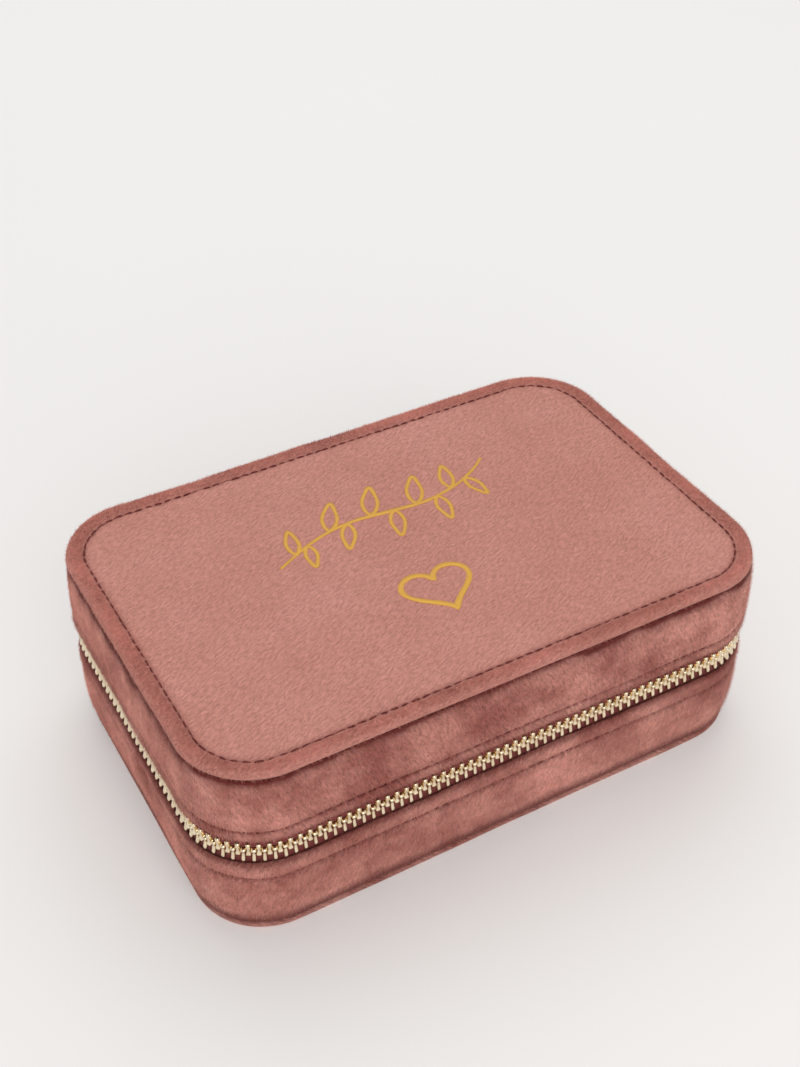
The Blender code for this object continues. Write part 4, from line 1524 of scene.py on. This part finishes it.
@dataclass
class Zip:
    """The metal zip: two tapes, two rows of teeth and the stops."""

    outline: CaseOutline
    finishes: Finishes
    repeater: PathRepeater
    parting: float
    teeth_pitch: float = 2.54 * MM
    teeth_count: int = 130
    first_tooth: float = 94.916 * MM
    tooth_width: float = 0.95 * MM
    top_stop: float = 88.816 * MM
    chain_half: float = 2.9 * MM
    tape_inset: float = 1.3 * MM
    tape_thick: float = 0.6 * MM
    cord_gap: float = 1.25 * MM
    bare_gap: float = 0.25 * MM
    past_gusset: float = 6.3 * MM
    hinge_clearance: float = 0.42 * MM

    @property
    def bottom_stop(self) -> float:
        """Where the bottom stop starts."""
        return self.first_tooth + (self.teeth_count + 1) * self.teeth_pitch

    def tooth(self, side: int) -> Object:
        """One tooth: a rounded knob outside, a bar, and a flared head past the parting.

        Args:
            side: -1 for the base's and 1 for the lid's.

        Returns:
            The tooth, at the origin.
        """
        levels = [(-3.0, 0.3, 0.7, 2.3), (-2.88, 0.45, 0.3, 2.6), (-2.5, 0.5, 0.12, 2.75),
                  (-1.9, 0.48, 0.16, 2.7),
                  (-1.3, 0.44, 0.34, 2.6), (-0.45, 0.42, 0.42, 2.55), (0.0, 0.42, 0.4, 2.5),
                  (0.4, 0.58, 0.24, 2.5),
                  (0.78, 0.6, 0.26, 2.5), (1.02, 0.4, 0.55, 2.3)]
        rings = []
        for z, half, front, back in levels:
            cut = min(0.22, half * 0.5)
            ring = [(-half, -back), (half, -back), (half, -front - cut), (half - cut, -front),
                    (cut - half, -front), (-half, -front - cut)]
            rings.append([(x * MM, y * MM, -side * z * MM) for x, y in ring])
        return Grid(np.array(rings), close_ends=True).piece("tooth_item", self.finishes.gold, 55)

    def teeth(self, half: Half) -> Object:
        """One half's row of teeth.

        Args:
            half: which half.

        Returns:
            The row.
        """
        shift = 0.0 if half is Half.BASE else self.teeth_pitch / 2
        start = self.first_tooth + self.tooth_width / 2 + shift
        runs = self.outline.spread(600, 0.0, start, start + (self.teeth_count - 1) * self.teeth_pitch)
        path = wrap(self.outline, runs, np.zeros((1, 1)), np.full((1, 1), self.parting))[0]
        item = self.tooth(half.side)
        return self.repeater.lay(f"{half.body}_teeth_row", path, item, self.teeth_count, self.finishes.gold)

    def tape(self, half: Half) -> Object:
        """One half's tape, close to the parting where it has no teeth and further off next to the gusset.

        Args:
            half: which half.

        Returns:
            The tape, from one end of the gusset round the front to the other.
        """
        low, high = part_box(f"{half.body}_zip_tape")
        hidden = low[2] if half is Half.BASE else high[2]
        start = self.outline.length / 2 - self.outline.radius - self.past_gusset
        runs = np.linspace(start, self.outline.total - start, 460)
        toothed = held((runs - self.top_stop + 1.3 * MM) / (0.8 * MM))
        toothed *= held((self.bottom_stop + 3.3 * MM - runs) / (0.8 * MM))
        beyond = np.minimum(runs, self.outline.total - runs) - start - self.past_gusset - 0.3 * MM
        hinge = held(1 - beyond / (0.8 * MM))
        eased = held(1 - beyond / (5.0 * MM))
        gap = self.bare_gap + (self.cord_gap - self.bare_gap) * toothed + self.hinge_clearance * eased
        gap = gap + (self.chain_half - 0.2 * MM) * hinge
        edge = self.parting + half.side * gap
        share = np.array([0, 0.01, 0.04, 0.09, 0.14, 0.2, 0.35, 0.5, 0.75, 1])[:, None]
        height = edge[None] * (1 - share) + hidden * share
        cord = 0.35 * MM * toothed[None] * near(share, 0.07, 0.07)
        front = wrap(self.outline, runs, self.tape_inset - cord, height)
        back = wrap(self.outline, runs, self.tape_inset + self.tape_thick + cord, height)
        points = np.concatenate([front, back[::-1]])
        return strip_grid(points).piece(f"{half.body}_tape_cloth", self.finishes.tape, 40)

    def stop(self, name: str, node: str, body: str) -> None:
        """A rounded metal stop in place of its plain one.

        Args:
            name: the piece's name.
            node: the CAD node.
            body: the body that carries it.
        """
        low, high = box_of(node)
        middle = (low + high) / 2
        spot, out = self.outline.place(np.array([self.nearest(middle)]))
        tall = high.z - low.z
        work = pillow_box(Vector((-0.95 * MM, -2.7 * MM, -tall / 2)),
                          Vector((0.95 * MM, -0.3 * MM, tall / 2)), 0.25 * MM, 0)
        turn = Matrix.Rotation(math.atan2(out[0, 1], out[0, 0]) - math.pi / 2, 4, "Z")
        work.transform(Matrix.Translation((spot[0, 0], spot[0, 1], middle.z)) @ turn)
        mount(piece_of(work, name, self.finishes.gold, 50), body, node)

    def nearest(self, place: Vector) -> float:
        """The outline length nearest to a place.

        Args:
            place: the place.

        Returns:
            A length on the outline.
        """
        runs = np.linspace(0, self.outline.total, 4000)
        spot, _ = self.outline.place(runs)
        return float(runs[np.argmin(np.hypot(spot[:, 0] - place.x, spot[:, 1] - place.y))])

    def build(self) -> None:
        """Makes both halves and the stops."""
        for half in Half:
            mount(self.teeth(half), half.body, f"{half.body}_zip_teeth")
            mount(self.tape(half), half.body, f"{half.body}_zip_tape")
        self.stop("base_top_stop_clip", "base_top_stop", "base")
        self.stop("lid_top_stop_clip", "lid_top_stop", "lid")
        self.stop("zip_bottom_stop_clip", "zip_bottom_stop", "base")


@dataclass
class SliderPull:
    """The slider with its bail, the link and the pull tab, hanging on the case's right side."""

    finishes: Finishes
    wire: float = 0.45 * MM
    post_half: float = 0.9 * MM

    def plate(self, low_x: float, high_x: float, shrink: float, dome: float) -> Object:
        """One slider plate: broad at its nose, narrow at its tail and slightly domed.

        Args:
            low_x: inner face.
            high_x: outer face.
            shrink: how much smaller its outline is than the slider's box.
            dome: how far the outer face swells.

        Returns:
            The plate.
        """
        low, high = box_of("zip_slider_body")
        mid_y, mid_z = (low.y + high.y) / 2, (low.z + high.z) / 2
        half_y, half_z = (high.y - low.y) / 2 - shrink, (high.z - low.z) / 2 - shrink
        line = [(1.0, 0.0), (0.97, 0.35), (0.86, 0.78), (0.6, 0.97), (0.25, 1.0), (-0.3, 0.86),
                (-0.72, 0.72), (-0.93, 0.5), (-1.0, 0.0)]
        outline = smooth_line(line + [(y, -z) for y, z in line[-2:0:-1]] + [line[0]], 49)[:-1]
        thick = high_x - low_x
        rows = []
        for share, x in ((0.6, low_x), (0.94, low_x), (1.0, low_x + 0.2 * thick),
                         (1.0, high_x - 0.4 * thick), (0.95, high_x - 0.12 * thick),
                         (0.86, high_x), (0.6, high_x + dome * 0.6), (0.25, high_x + dome)):
            ring = np.stack([np.full(len(outline), x), mid_y + outline[:, 0] * half_y * share,
                             mid_z + outline[:, 1] * half_z * share], 1)
            rows.append(ring)
        return Grid(np.array(rows), close_ends=True).piece("slider_plate", self.finishes.gold, 50)

    def build(self) -> None:
        """Makes the four metal pieces."""
        low, high = box_of("zip_slider_body")
        front = self.plate(high.x - 1.2 * MM, high.x - 0.05 * MM, 0.0, 0.2 * MM)
        back = self.plate(low.x, low.x + 0.7 * MM, 0.2 * MM, 0.0)
        middle = (low.z + high.z) / 2
        work = pillow_box(Vector((low.x + 0.3 * MM, high.y - 1.4 * MM, middle - self.post_half)),
                          Vector((high.x - 0.6 * MM, high.y - 0.35 * MM, middle + self.post_half)),
                          0.25 * MM, 0)
        post = piece_of(work, "slider_post", self.finishes.gold)
        body = join("slider_body_cast", [front, back, post])
        for piece, carrier, node in (
                (body, "slider", "zip_slider_body"), (self.bail(), "slider", "zip_slider_bail"),
                (self.link(), "pull_link", "zip_pull_link"), (self.tab(), "pull_tab", "zip_pull_tab")):
            mount(piece, carrier, node)

    def bail(self) -> Object:
        """The wire arch on the slider's face.

        Returns:
            The arch.
        """
        low, high = box_of("zip_slider_bail")
        z = (low.z + high.z) / 2
        a, b = low.y + self.wire, high.y - self.wire
        bar = high.x - self.wire
        line = [(low.x - 0.3 * MM, a, z), (low.x + 0.5 * MM, a, z), (bar - 0.35 * MM, a + 0.15 * MM, z),
                (bar, a + 1.0 * MM, z),
                (bar, (a + b) / 2, z), (bar, b - 1.0 * MM, z), (bar - 0.35 * MM, b - 0.15 * MM, z),
                (low.x + 0.5 * MM, b, z), (low.x - 0.3 * MM, b, z)]
        points = tube(smooth_line(line, 44), circle(self.wire, 12), False, Vector((0, 0, 1)))
        return Grid(points, close_ends=True).piece("slider_bail_wire", self.finishes.gold, 60)

    def link(self) -> Object:
        """The wire loop between the bail and the tab.

        Returns:
            The loop.
        """
        low, high = box_of("zip_pull_link")
        x, y = (low.x + high.x) / 2, (low.y + high.y) / 2
        radius = (high.x - low.x) / 2 - self.wire
        top, foot = high.z - self.wire - radius, low.z + self.wire + radius
        line = []
        for step in range(24):
            a = math.pi * step / 23
            line.append((x + radius * math.cos(a), y, top + radius * math.sin(a)))
        for step in range(24):
            a = math.pi * (1 + step / 23)
            line.append((x + radius * math.cos(a), y, foot + radius * math.sin(a)))
        points = tube(np.array(line), circle(self.wire, 12), True, Vector((0, 1, 0)))
        return Grid(points, round_rows=True).piece("pull_link_wire", self.finishes.gold)

    def tab(self) -> Object:
        """The flat tab: an eye in its neck, a rounded foot and a sunk panel on each face.

        Returns:
            The tab.
        """
        low, high = box_of("zip_pull_tab")
        x, y = (low.x + high.x) / 2, (low.y + high.y) / 2
        half, thick = (high.y - low.y) / 2, (high.x - low.x) / 2
        neck, eye = 2.4 * MM, 1.3 * MM
        eye_z = high.z - neck
        foot = low.z + half
        shoulder = eye_z - 6.8 * MM
        count = 24
        rim = []
        for step in range(count):
            a = math.pi * step / (count - 1)
            rim.append((neck * math.cos(a), eye_z + neck * math.sin(a)))
        for step in range(1, 8):
            t = step / 7
            rim.append((-neck - (half - neck) * (0.5 - 0.5 * math.cos(math.pi * t)),
                        eye_z + (shoulder - eye_z) * t))
        for step in range(count):
            a = math.pi * (1 + step / (count - 1))
            rim.append((half * math.cos(a), foot + half * math.sin(a)))
        for step in range(1, 8):
            t = 1 - step / 8
            rim.append((neck + (half - neck) * (0.5 - 0.5 * math.cos(math.pi * t)),
                        eye_z + (shoulder - eye_z) * t))
        rim = np.array(rim)
        angle = np.arctan2(rim[:, 1] - eye_z, rim[:, 0])
        hole = np.stack([eye * np.cos(angle), eye_z + eye * np.sin(angle)], 1)
        rows = []
        for share, depth in ((0.0, 0.7), (0.06, 1.0), (0.9, 1.0), (0.97, 0.8), (1.0, 0.4), (1.0, -0.4),
                             (0.97, -0.8), (0.9, -1.0), (0.06, -1.0), (0.0, -0.7)):
            ring = hole + (rim - hole) * share
            rows.append(np.stack([np.full(len(rim), x + depth * thick), y + ring[:, 0], ring[:, 1]], 1))
        return Grid(np.array(rows), round_rows=True).piece("pull_tab_plate", self.finishes.gold, 50)


@dataclass
class ClothHinge:
    """The velvet gusset across the back and the lining strip inside it, which bow out between base and lid.
    """

    outline: CaseOutline
    finishes: Finishes
    overlap: float = 1.6 * MM

    def strip(self, name: str, node: str, material: Material, bulge: float) -> None:
        """A strip across the back that bows outwards between base and lid.

        Args:
            name: the piece's name.
            node: the CAD node that it stands for.
            material: its finish.
            bulge: how far it bows outwards.
        """
        low, high = box_of(node)
        inset = self.outline.depth / 2 - high.y
        thick = high.y - low.y
        x = np.linspace(low.x - self.overlap, high.x + self.overlap, 248)
        z = np.linspace(low.z, high.z, 17)
        t = (z - low.z) / (high.z - low.z)
        bow = bulge * np.sin(t * math.pi)
        gather = 0.05 * MM * ripple(np.stack([x, x * 0, x * 0], 1), 0.004, 0.012, 81)
        front = np.empty((len(z), len(x), 3))
        front[..., 0] = x[None]
        tuck = 0.5 * MM * held(1 - (high.x + self.overlap - np.abs(x)) / (1.2 * MM)) ** 2
        face = self.outline.depth / 2 - inset - 0.25 * MM
        front[..., 1] = face + bow[:, None] + gather[None] - tuck[None]
        front[..., 2] = z[:, None]
        back = front[::-1].copy()
        back[..., 1] -= thick * 0.7
        points = np.concatenate([front, back])
        # Painted shade: darker towards the strip's top and bottom edges, where it meets base and lid, and
        # half dark over its back face.
        shade = held(1 - np.minimum(t, 1 - t) / 0.18) * 0.7
        shade = np.concatenate([shade, shade * 0 + 0.5])[:, None] + np.zeros((1, len(x)))
        piece = strip_grid(points, shade).piece(name, material, 50)
        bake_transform(piece)
        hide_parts(node)
        log.info("hinged %s", name)

    def build(self) -> None:
        """Makes both strips."""
        self.strip("hinge_gusset_velvet", "hinge_gusset", self.finishes.brushed, 0.2 * MM)
        self.strip("hinge_strip_cloth", "hinge_strip", self.finishes.lining, 0.1 * MM)


# ---------------------------------------------------------------- inside


@dataclass
class InnerTray:
    """The lining of one half: walls with a rolled rim, and a floor or a ceiling with soft corners."""

    outline: CaseOutline
    finishes: Finishes
    half: Half

    def build(self) -> None:
        """Makes the lining."""
        node = f"{self.half.body}_lining"
        low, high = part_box(node)
        outer = (self.outline.depth / 2 - high[1]) / MM
        side = self.half.side
        rim = (high[2] if side < 0 else low[2]) / MM
        shut = (low[2] if side < 0 else high[2]) / MM
        inner = outer + 1.0
        profile = [(outer + 0.25, shut), (outer, shut - side * 0.5), (outer, shut - side * 6),
                   (outer - 0.05, rim + side * 1.4),
                   (outer - 0.05, rim + side * 0.4), (outer + 0.3, rim), (outer + 0.8, rim),
                   (inner + 0.1, rim + side * 0.45),
                   (inner + 0.02, rim + side * 1.6), (inner, shut - side * 5),
                   (inner + 0.1, shut - side * 2.2), (inner + 0.6, shut - side * 1.3),
                   (inner + 1.8, shut - side * 1.0), (inner + 5, shut - side * 1.0)]
        line = smooth_line(profile, 44) * MM
        runs = self.outline.spread(520, inner * MM)
        inset = np.repeat(line[:, :1], len(runs), 1)
        height = np.repeat(line[:, 1:], len(runs), 1)
        rings = wrap(self.outline, runs, inset, height)
        soft = ripple(rings, 0.02, 0.06, 90 + side) * 0.06 * MM
        rings = wrap(self.outline, runs, inset + np.abs(soft) * near(inset, inner * MM, 0.3 * MM), height)
        flat = rings[-1] * FLAT
        top = line[-1, 1]
        inside = [flat * share + np.array([0, 0, top]) for share in np.linspace(1, 0, 12)[1:-1]]
        outside = [rings[0] * np.array([share, share, 1.0]) for share in (0.2, 0.6)]
        points = np.concatenate([np.array(outside), rings, np.array(inside)])
        piece = Grid(points, close_ends=True).piece(f"{self.half.body}_lining_cloth", self.finishes.lining)
        mount(piece, self.half.body, node)


@dataclass
class RingRolls:
    """Five stuffed plush rolls that grip rings between them."""

    finishes: Finishes
    count: int = 5
    cap: float = 0.5 * MM
    pressure: float = 4.0
    frames: int = 20

    def raw(self, node: str) -> Object:
        """A roll slightly smaller than its space, before it is inflated.

        Args:
            node: the CAD roll.

        Returns:
            The roll.
        """
        low, high = box_of(node)
        radius = (high.x - low.x) / 2 - 0.35 * MM
        x, z = (low.x + high.x) / 2, (low.z + high.z) / 2
        reach = (high.y - low.y) / 2
        mid = (high.y + low.y) / 2
        rows = []
        steps = 40
        for step in range(steps + 1):
            t = -1 + 2 * step / steps
            y = mid + t * (reach - 0.4 * MM)
            past = max(0.0, abs(y - mid) - (reach - radius - 0.4 * MM)) / radius
            r = radius * math.sqrt(max(0.0, 1 - min(past, 0.985) ** 2))
            ring = [(x + r * math.cos(a), y, z + r * math.sin(a))
                    for a in np.linspace(0, 2 * math.pi, 32, endpoint=False)]
            rows.append(ring)
        name = node.replace("ring_roll", "stuffed_roll")
        return Grid(np.array(rows), close_ends=True).piece(name, self.finishes.plush)

    def inflate(self, roll: Object, seed: int) -> None:
        """Swells a roll by a cloth simulation, capped so that it keeps to its space.

        Args:
            roll: the roll.
            seed: which unevenness its filling has.
        """
        scene = bpy.context.scene
        remesh = roll.modifiers.new("net", "REMESH")
        remesh.mode = "VOXEL"
        remesh.voxel_size = 1.1 * MM
        still = baked(roll)
        roll.modifiers.clear()
        roll.data = still
        start = places_of(still)
        swollen = start
        cloth = roll.modifiers.new("stuffing", "CLOTH")
        cloth.settings.use_pressure = True
        cloth.settings.uniform_pressure_force = self.pressure
        cloth.settings.effector_weights.gravity = 0.0
        cloth.settings.quality = 4
        cloth.point_cache.frame_start = 1
        cloth.point_cache.frame_end = self.frames
        for number in range(1, self.frames + 1):
            scene.frame_set(number)
        shaped = baked(roll)
        swollen = places_of(shaped)
        roll.modifiers.clear()
        bpy.data.meshes.remove(shaped)
        scene.frame_set(1)
        move = swollen - start
        far = np.linalg.norm(move, axis=1)[:, None]
        move = move / np.maximum(far, 1e-9) * np.minimum(far, self.cap)
        middle = start.mean(0)
        out = (start - middle) * np.array([1, 0, 1])
        out /= np.maximum(np.linalg.norm(out, axis=1)[:, None], 1e-9)
        dent = ripple(start, 0.010, 0.030, seed)[:, None] * 0.16 * MM
        still.vertices.foreach_set("co", (start + move + out * dent).ravel())
        still.update()
        still.shade_smooth()
        finer = roll.modifiers.new("fine", "SUBSURF")
        finer.levels = 1
        finer.render_levels = 1

    def build(self) -> None:
        """Makes and stuffs the rolls."""
        for number in range(1, self.count + 1):
            node = f"ring_roll_{number}"
            roll = self.raw(node)
            self.inflate(roll, 100 + number)
            mount(roll, "base", node)


@dataclass
class Dividers:
    """Thin plush-covered walls: one fixed and two that lift out."""

    finishes: Finishes
    carriers: tuple[tuple[str, str], ...] = (
        ("fixed_divider", "base"), ("removable_divider_long", "divider_long"),
        ("removable_divider_short", "divider_short"))

    def build(self) -> None:
        """Makes each wall with rounded edges and a slightly puffed cover."""
        for node, body in self.carriers:
            low, high = box_of(node)
            work = pillow_box(low, high, 0.75 * MM, 24)
            places = np.array([v.co[:] for v in work.verts])
            middle = (low + high) / 2
            size = high - low
            thin = 0 if size.x < size.y else 1
            rise = ripple(places, 0.008, 0.025, 120) * 0.05 * MM
            for vert, lift in zip(work.verts, rise):
                vert.co[thin] += math.copysign(abs(lift), vert.co[thin] - middle[thin]) * 0.6
            mount(piece_of(work, f"{node}_plush", self.finishes.plush), body, node)


@dataclass
class LidPocket:
    """A gathered cloth pocket under the lid's ceiling, with a ruched elastic mouth."""

    finishes: Finishes
    pleats: int = 27

    def sheet(self) -> Object:
        """The pocket's cloth, fullest at the mouth.

        Returns:
            The cloth.
        """
        low, high = box_of("lid_pocket")
        columns, rows = 300, 60
        u = np.linspace(0, 1, columns)[None]
        v = np.linspace(0, 1, rows)[:, None]
        x = low.x + (high.x - low.x) * u + 0 * v
        y = low.y + (high.y - low.y) * v + 0 * u
        edge = np.minimum(np.minimum(u, 1 - u) * (high.x - low.x), (1 - v) * (high.y - low.y))
        sag = 1 - held(edge / (9 * MM))
        sag = 1 - sag**2.2
        drop = (high.z - low.z) - 0.8 * MM
        drift = ripple(np.stack([x, y * 0.4, x * 0], -1), 0.02, 0.05, 131)
        fold_phase = 2 * math.pi * self.pleats * u + 1.2 * drift
        depth = (1.15 * (1 - v) ** 1.4 + 0.22) * MM * held(edge / (4 * MM))
        fold = depth * (0.5 + 0.5 * np.sin(fold_phase))
        crumple = 0.12 * MM * ripple(np.stack([x, y, x * 0], -1), 0.008, 0.02, 132) * sag
        z = high.z - 0.25 * MM - drop * sag + fold * sag + crumple
        side = depth * 0.35 * np.cos(fold_phase)
        front = np.stack([x + side * held(edge / (6 * MM)), y, z], -1)
        back = front[::-1].copy()
        back[..., 2] += 0.3 * MM
        points = np.concatenate([front, back])
        return strip_grid(points).piece("lid_pocket_cloth", self.finishes.lining)

    def elastic(self) -> Object:
        """The ruched band along the pocket's mouth.

        Returns:
            The band.
        """
        low, high = box_of("lid_pocket_elastic")
        columns = 420
        x = np.linspace(low.x, high.x, columns)
        drift = ripple(np.stack([x, x * 0, x * 0], 1), 0.01, 0.03, 141)
        squeeze = 0.5 + 0.5 * np.cos(2 * math.pi * (x - low.x) / (2.3 * MM) + 0.8 * drift)
        half_y, half_z = (high.y - low.y) / 2, (high.z - low.z) / 2
        rows = []
        for a in np.linspace(0, 2 * math.pi, 16, endpoint=False):
            swell = 0.84 + 0.16 * squeeze
            y = (low.y + high.y) / 2 + np.sign(math.cos(a)) * abs(math.cos(a)) ** 0.6 * half_y * swell
            z = (low.z + high.z) / 2 + np.sign(math.sin(a)) * abs(math.sin(a)) ** 0.6 * half_z * swell
            rows.append(np.stack([x, y, z], 1))
        return strip_grid(np.array(rows)).piece("pocket_elastic_ruche", self.finishes.elastic)

    def build(self) -> None:
        """Makes the pocket and its elastic."""
        cloth, band = self.sheet(), self.elastic()
        low, high = box_of("lid_pocket")
        mount(cloth, "lid", "lid_pocket")
        mount(band, "lid", "lid_pocket_elastic")


@dataclass
class NecklaceHooks:
    """A stitched leather strip under the lid's ceiling and three flat-wire hooks."""

    finishes: Finishes
    sewing: StitchLine

    def strip(self) -> Object:
        """The strip with rounded edges.

        Returns:
            The strip.
        """
        low, high = box_of("necklace_hook_strip")
        work = pillow_box(low, high, 0.4 * MM, 16)
        for vert in work.verts:
            if vert.co.z < low.z + 0.3 * MM:
                edge = min(vert.co.y - low.y, high.y - vert.co.y)
                vert.co.z += 0.15 * MM * math.exp(-((edge / (1.2 * MM)) ** 2))
        return piece_of(work, "hook_strip_leather", self.finishes.leather, 60)

    def hook(self, node: str) -> Object:
        """One hook: a flat strip of metal bent forward and up.

        Args:
            node: the CAD hook.

        Returns:
            The hook.
        """
        low, high = box_of(node)
        x = (low.x + high.x) / 2
        half = (high.x - low.x) / 2
        wire = 0.55 * MM
        back = high.y - wire
        line = [(x, back, high.z), (x, back, high.z - 1.5 * MM), (x, back, low.z + 2.2 * MM),
                (x, back - 0.5 * MM, low.z + 0.9 * MM),
                (x, back - 1.6 * MM, low.z + wire), (x, low.y + 1.7 * MM, low.z + wire),
                (x, low.y + wire + 0.1 * MM, low.z + 1.0 * MM),
                (x, low.y + wire, low.z + 2.4 * MM)]
        section = [(math.copysign(abs(math.cos(a)) ** 0.5 * half, math.cos(a)),
                    math.copysign(abs(math.sin(a)) ** 0.7 * wire, math.sin(a)))
                   for a in np.linspace(0, 2 * math.pi, 16, endpoint=False)]
        points = tube(smooth_line(line, 40), section, False, Vector((0, 0.3, 1)))
        spread = np.linspace(0, 1, 40)
        taper = np.where(spread > 0.75, 1 - (spread - 0.75) * 1.8, 1.0)[:, None]
        points[..., 0] = x + (points[..., 0] - x) * taper
        name = node.replace("necklace_hook", "bent_hook")
        return Grid(points, close_ends=True).piece(name, self.finishes.gold, 50)

    def build(self) -> None:
        """Makes the strip, its stitching and the hooks."""
        mount(self.strip(), "lid", "necklace_hook_strip")
        low, high = box_of("necklace_hook_strip")
        inset = 1.1 * MM
        corners = [(low.x + inset, low.y + inset), (high.x - inset, low.y + inset),
                   (high.x - inset, high.y - inset),
                   (low.x + inset, high.y - inset), (low.x + inset, low.y + inset + 2 * MM)]
        path = np.array([(x, y, low.z + 0.1 * MM) for x, y in corners])
        seam = self.sewing.sew("hook_strip_stitching", path, self.finishes.thread, 151)
        mount(seam, "lid")
        for node in ("necklace_hook_1", "necklace_hook_2", "necklace_hook_3"):
            mount(self.hook(node), "lid", node)


# ---------------------------------------------------------------- studio


@dataclass
class Studio:
    """A pale floor, soft lamps and the camera."""

    place: Triple = (-0.14663, -0.25391, 0.3044)
    turn: Triple = (50.1816, -0.1002, -29.4153)
    lens: float = 50.53

    def floor(self) -> None:
        """A wide sweep under the case."""
        size = 3.0
        mesh = bpy.data.meshes.new("studio_floor")
        mesh.from_pydata([(-size, -size, 0), (size, -size, 0), (size, size, 0), (-size, size, 0)], [],
                         [(0, 1, 2, 3)])
        material, b, shader = Finish("studio_paper", (0.86, 0.85, 0.84), 0.9).start()
        cloud = b.noise(b.put("ShaderNodeTexCoord").outputs["Object"], 3.0, 2.0)
        b.feed(shader.inputs["Base Color"], b.blend(cloud, (0.77, 0.765, 0.76), (0.8, 0.795, 0.79)))
        shader.inputs["Emission Color"].default_value = (1.0, 0.985, 0.97, 1.0)
        shader.inputs["Emission Strength"].default_value = 0.15
        mesh.materials.append(material)
        link("studio_floor", mesh)

    def lamp(self, name: str, place: Triple, size: float, power: float, tint: Triple) -> None:
        """A square soft lamp aimed at the case.

        Args:
            name: the lamp's name.
            place: where it hangs.
            size: its side.
            power: its power in watts.
            tint: its colour.
        """
        light = bpy.data.lights.new(name, "AREA")
        light.size = size
        light.energy = power
        light.color = tint
        lamp = link(name, light)
        lamp.location = place
        lamp.rotation_euler = (Vector(place) - Vector((0, 0, 0.03))).to_track_quat("Z", "Y").to_euler()

    def build(self) -> None:
        """Lays the floor, hangs the lamps and sets the camera."""
        self.floor()
        world = bpy.data.worlds.new("studio_world")
        bpy.context.scene.world = world
        world.use_nodes = True
        back = world.node_tree.nodes["Background"]
        back.inputs[0].default_value = (1.0, 0.99, 0.98, 1.0)
        back.inputs[1].default_value = 0.55
        self.lamp("key_lamp", (0.35, 0.7, 1.3), 1.3, 7.0, (1.0, 0.98, 0.95))
        self.lamp("fill_lamp", (-0.35, -1.2, 0.75), 1.2, 9.0, (1.0, 0.985, 0.97))
        lens = bpy.data.cameras.new("case_camera")
        lens.lens = self.lens
        lens.sensor_width = 36.0
        lens.clip_start = 0.01
        camera = link("case_camera", lens)
        camera.location = self.place
        camera.rotation_euler = [math.radians(angle) for angle in self.turn]
        bpy.context.scene.camera = camera
        bpy.context.scene.view_settings.view_transform = "Standard"
        log.info("studio is set")


def main() -> None:
    """Builds the case's looks in order, from the outside in."""
    logging.basicConfig(level=logging.INFO, format="%(name)s: %(message)s")
    bottom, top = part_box("base_bottom_panel")[0][2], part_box("lid_top_panel")[1][2]
    low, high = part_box("base_side_band")
    outline = CaseOutline(high[0] - low[0], high[1] - low[1], 20 * MM)
    finishes = Finishes()
    repeater = PathRepeater()
    sewing = StitchLine(repeater)
    lid_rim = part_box("lid_side_band")[0][2]
    parting = (high[2] + lid_rim) / 2
    finishes.redress({
        "base_bottom_board": finishes.board, "base_wall_board": finishes.board,
        "lid_top_board": finishes.board,
        "lid_wall_board": finishes.board, "lid_padding": finishes.foam})
    shell = VelvetShell(outline, finishes, sewing, PileGrower(), top - bottom, high[2], lid_rim)
    shell.build()
    FoilSprig(shell, finishes).build()
    Zip(outline, finishes, repeater, parting).build()
    SliderPull(finishes).build()
    ClothHinge(outline, finishes).build()
    for half in Half:
        InnerTray(outline, finishes, half).build()
    RingRolls(finishes).build()
    Dividers(finishes).build()
    LidPocket(finishes).build()
    NecklaceHooks(finishes, sewing).build()
    Studio().build()


if __name__ == "__main__":
    main()
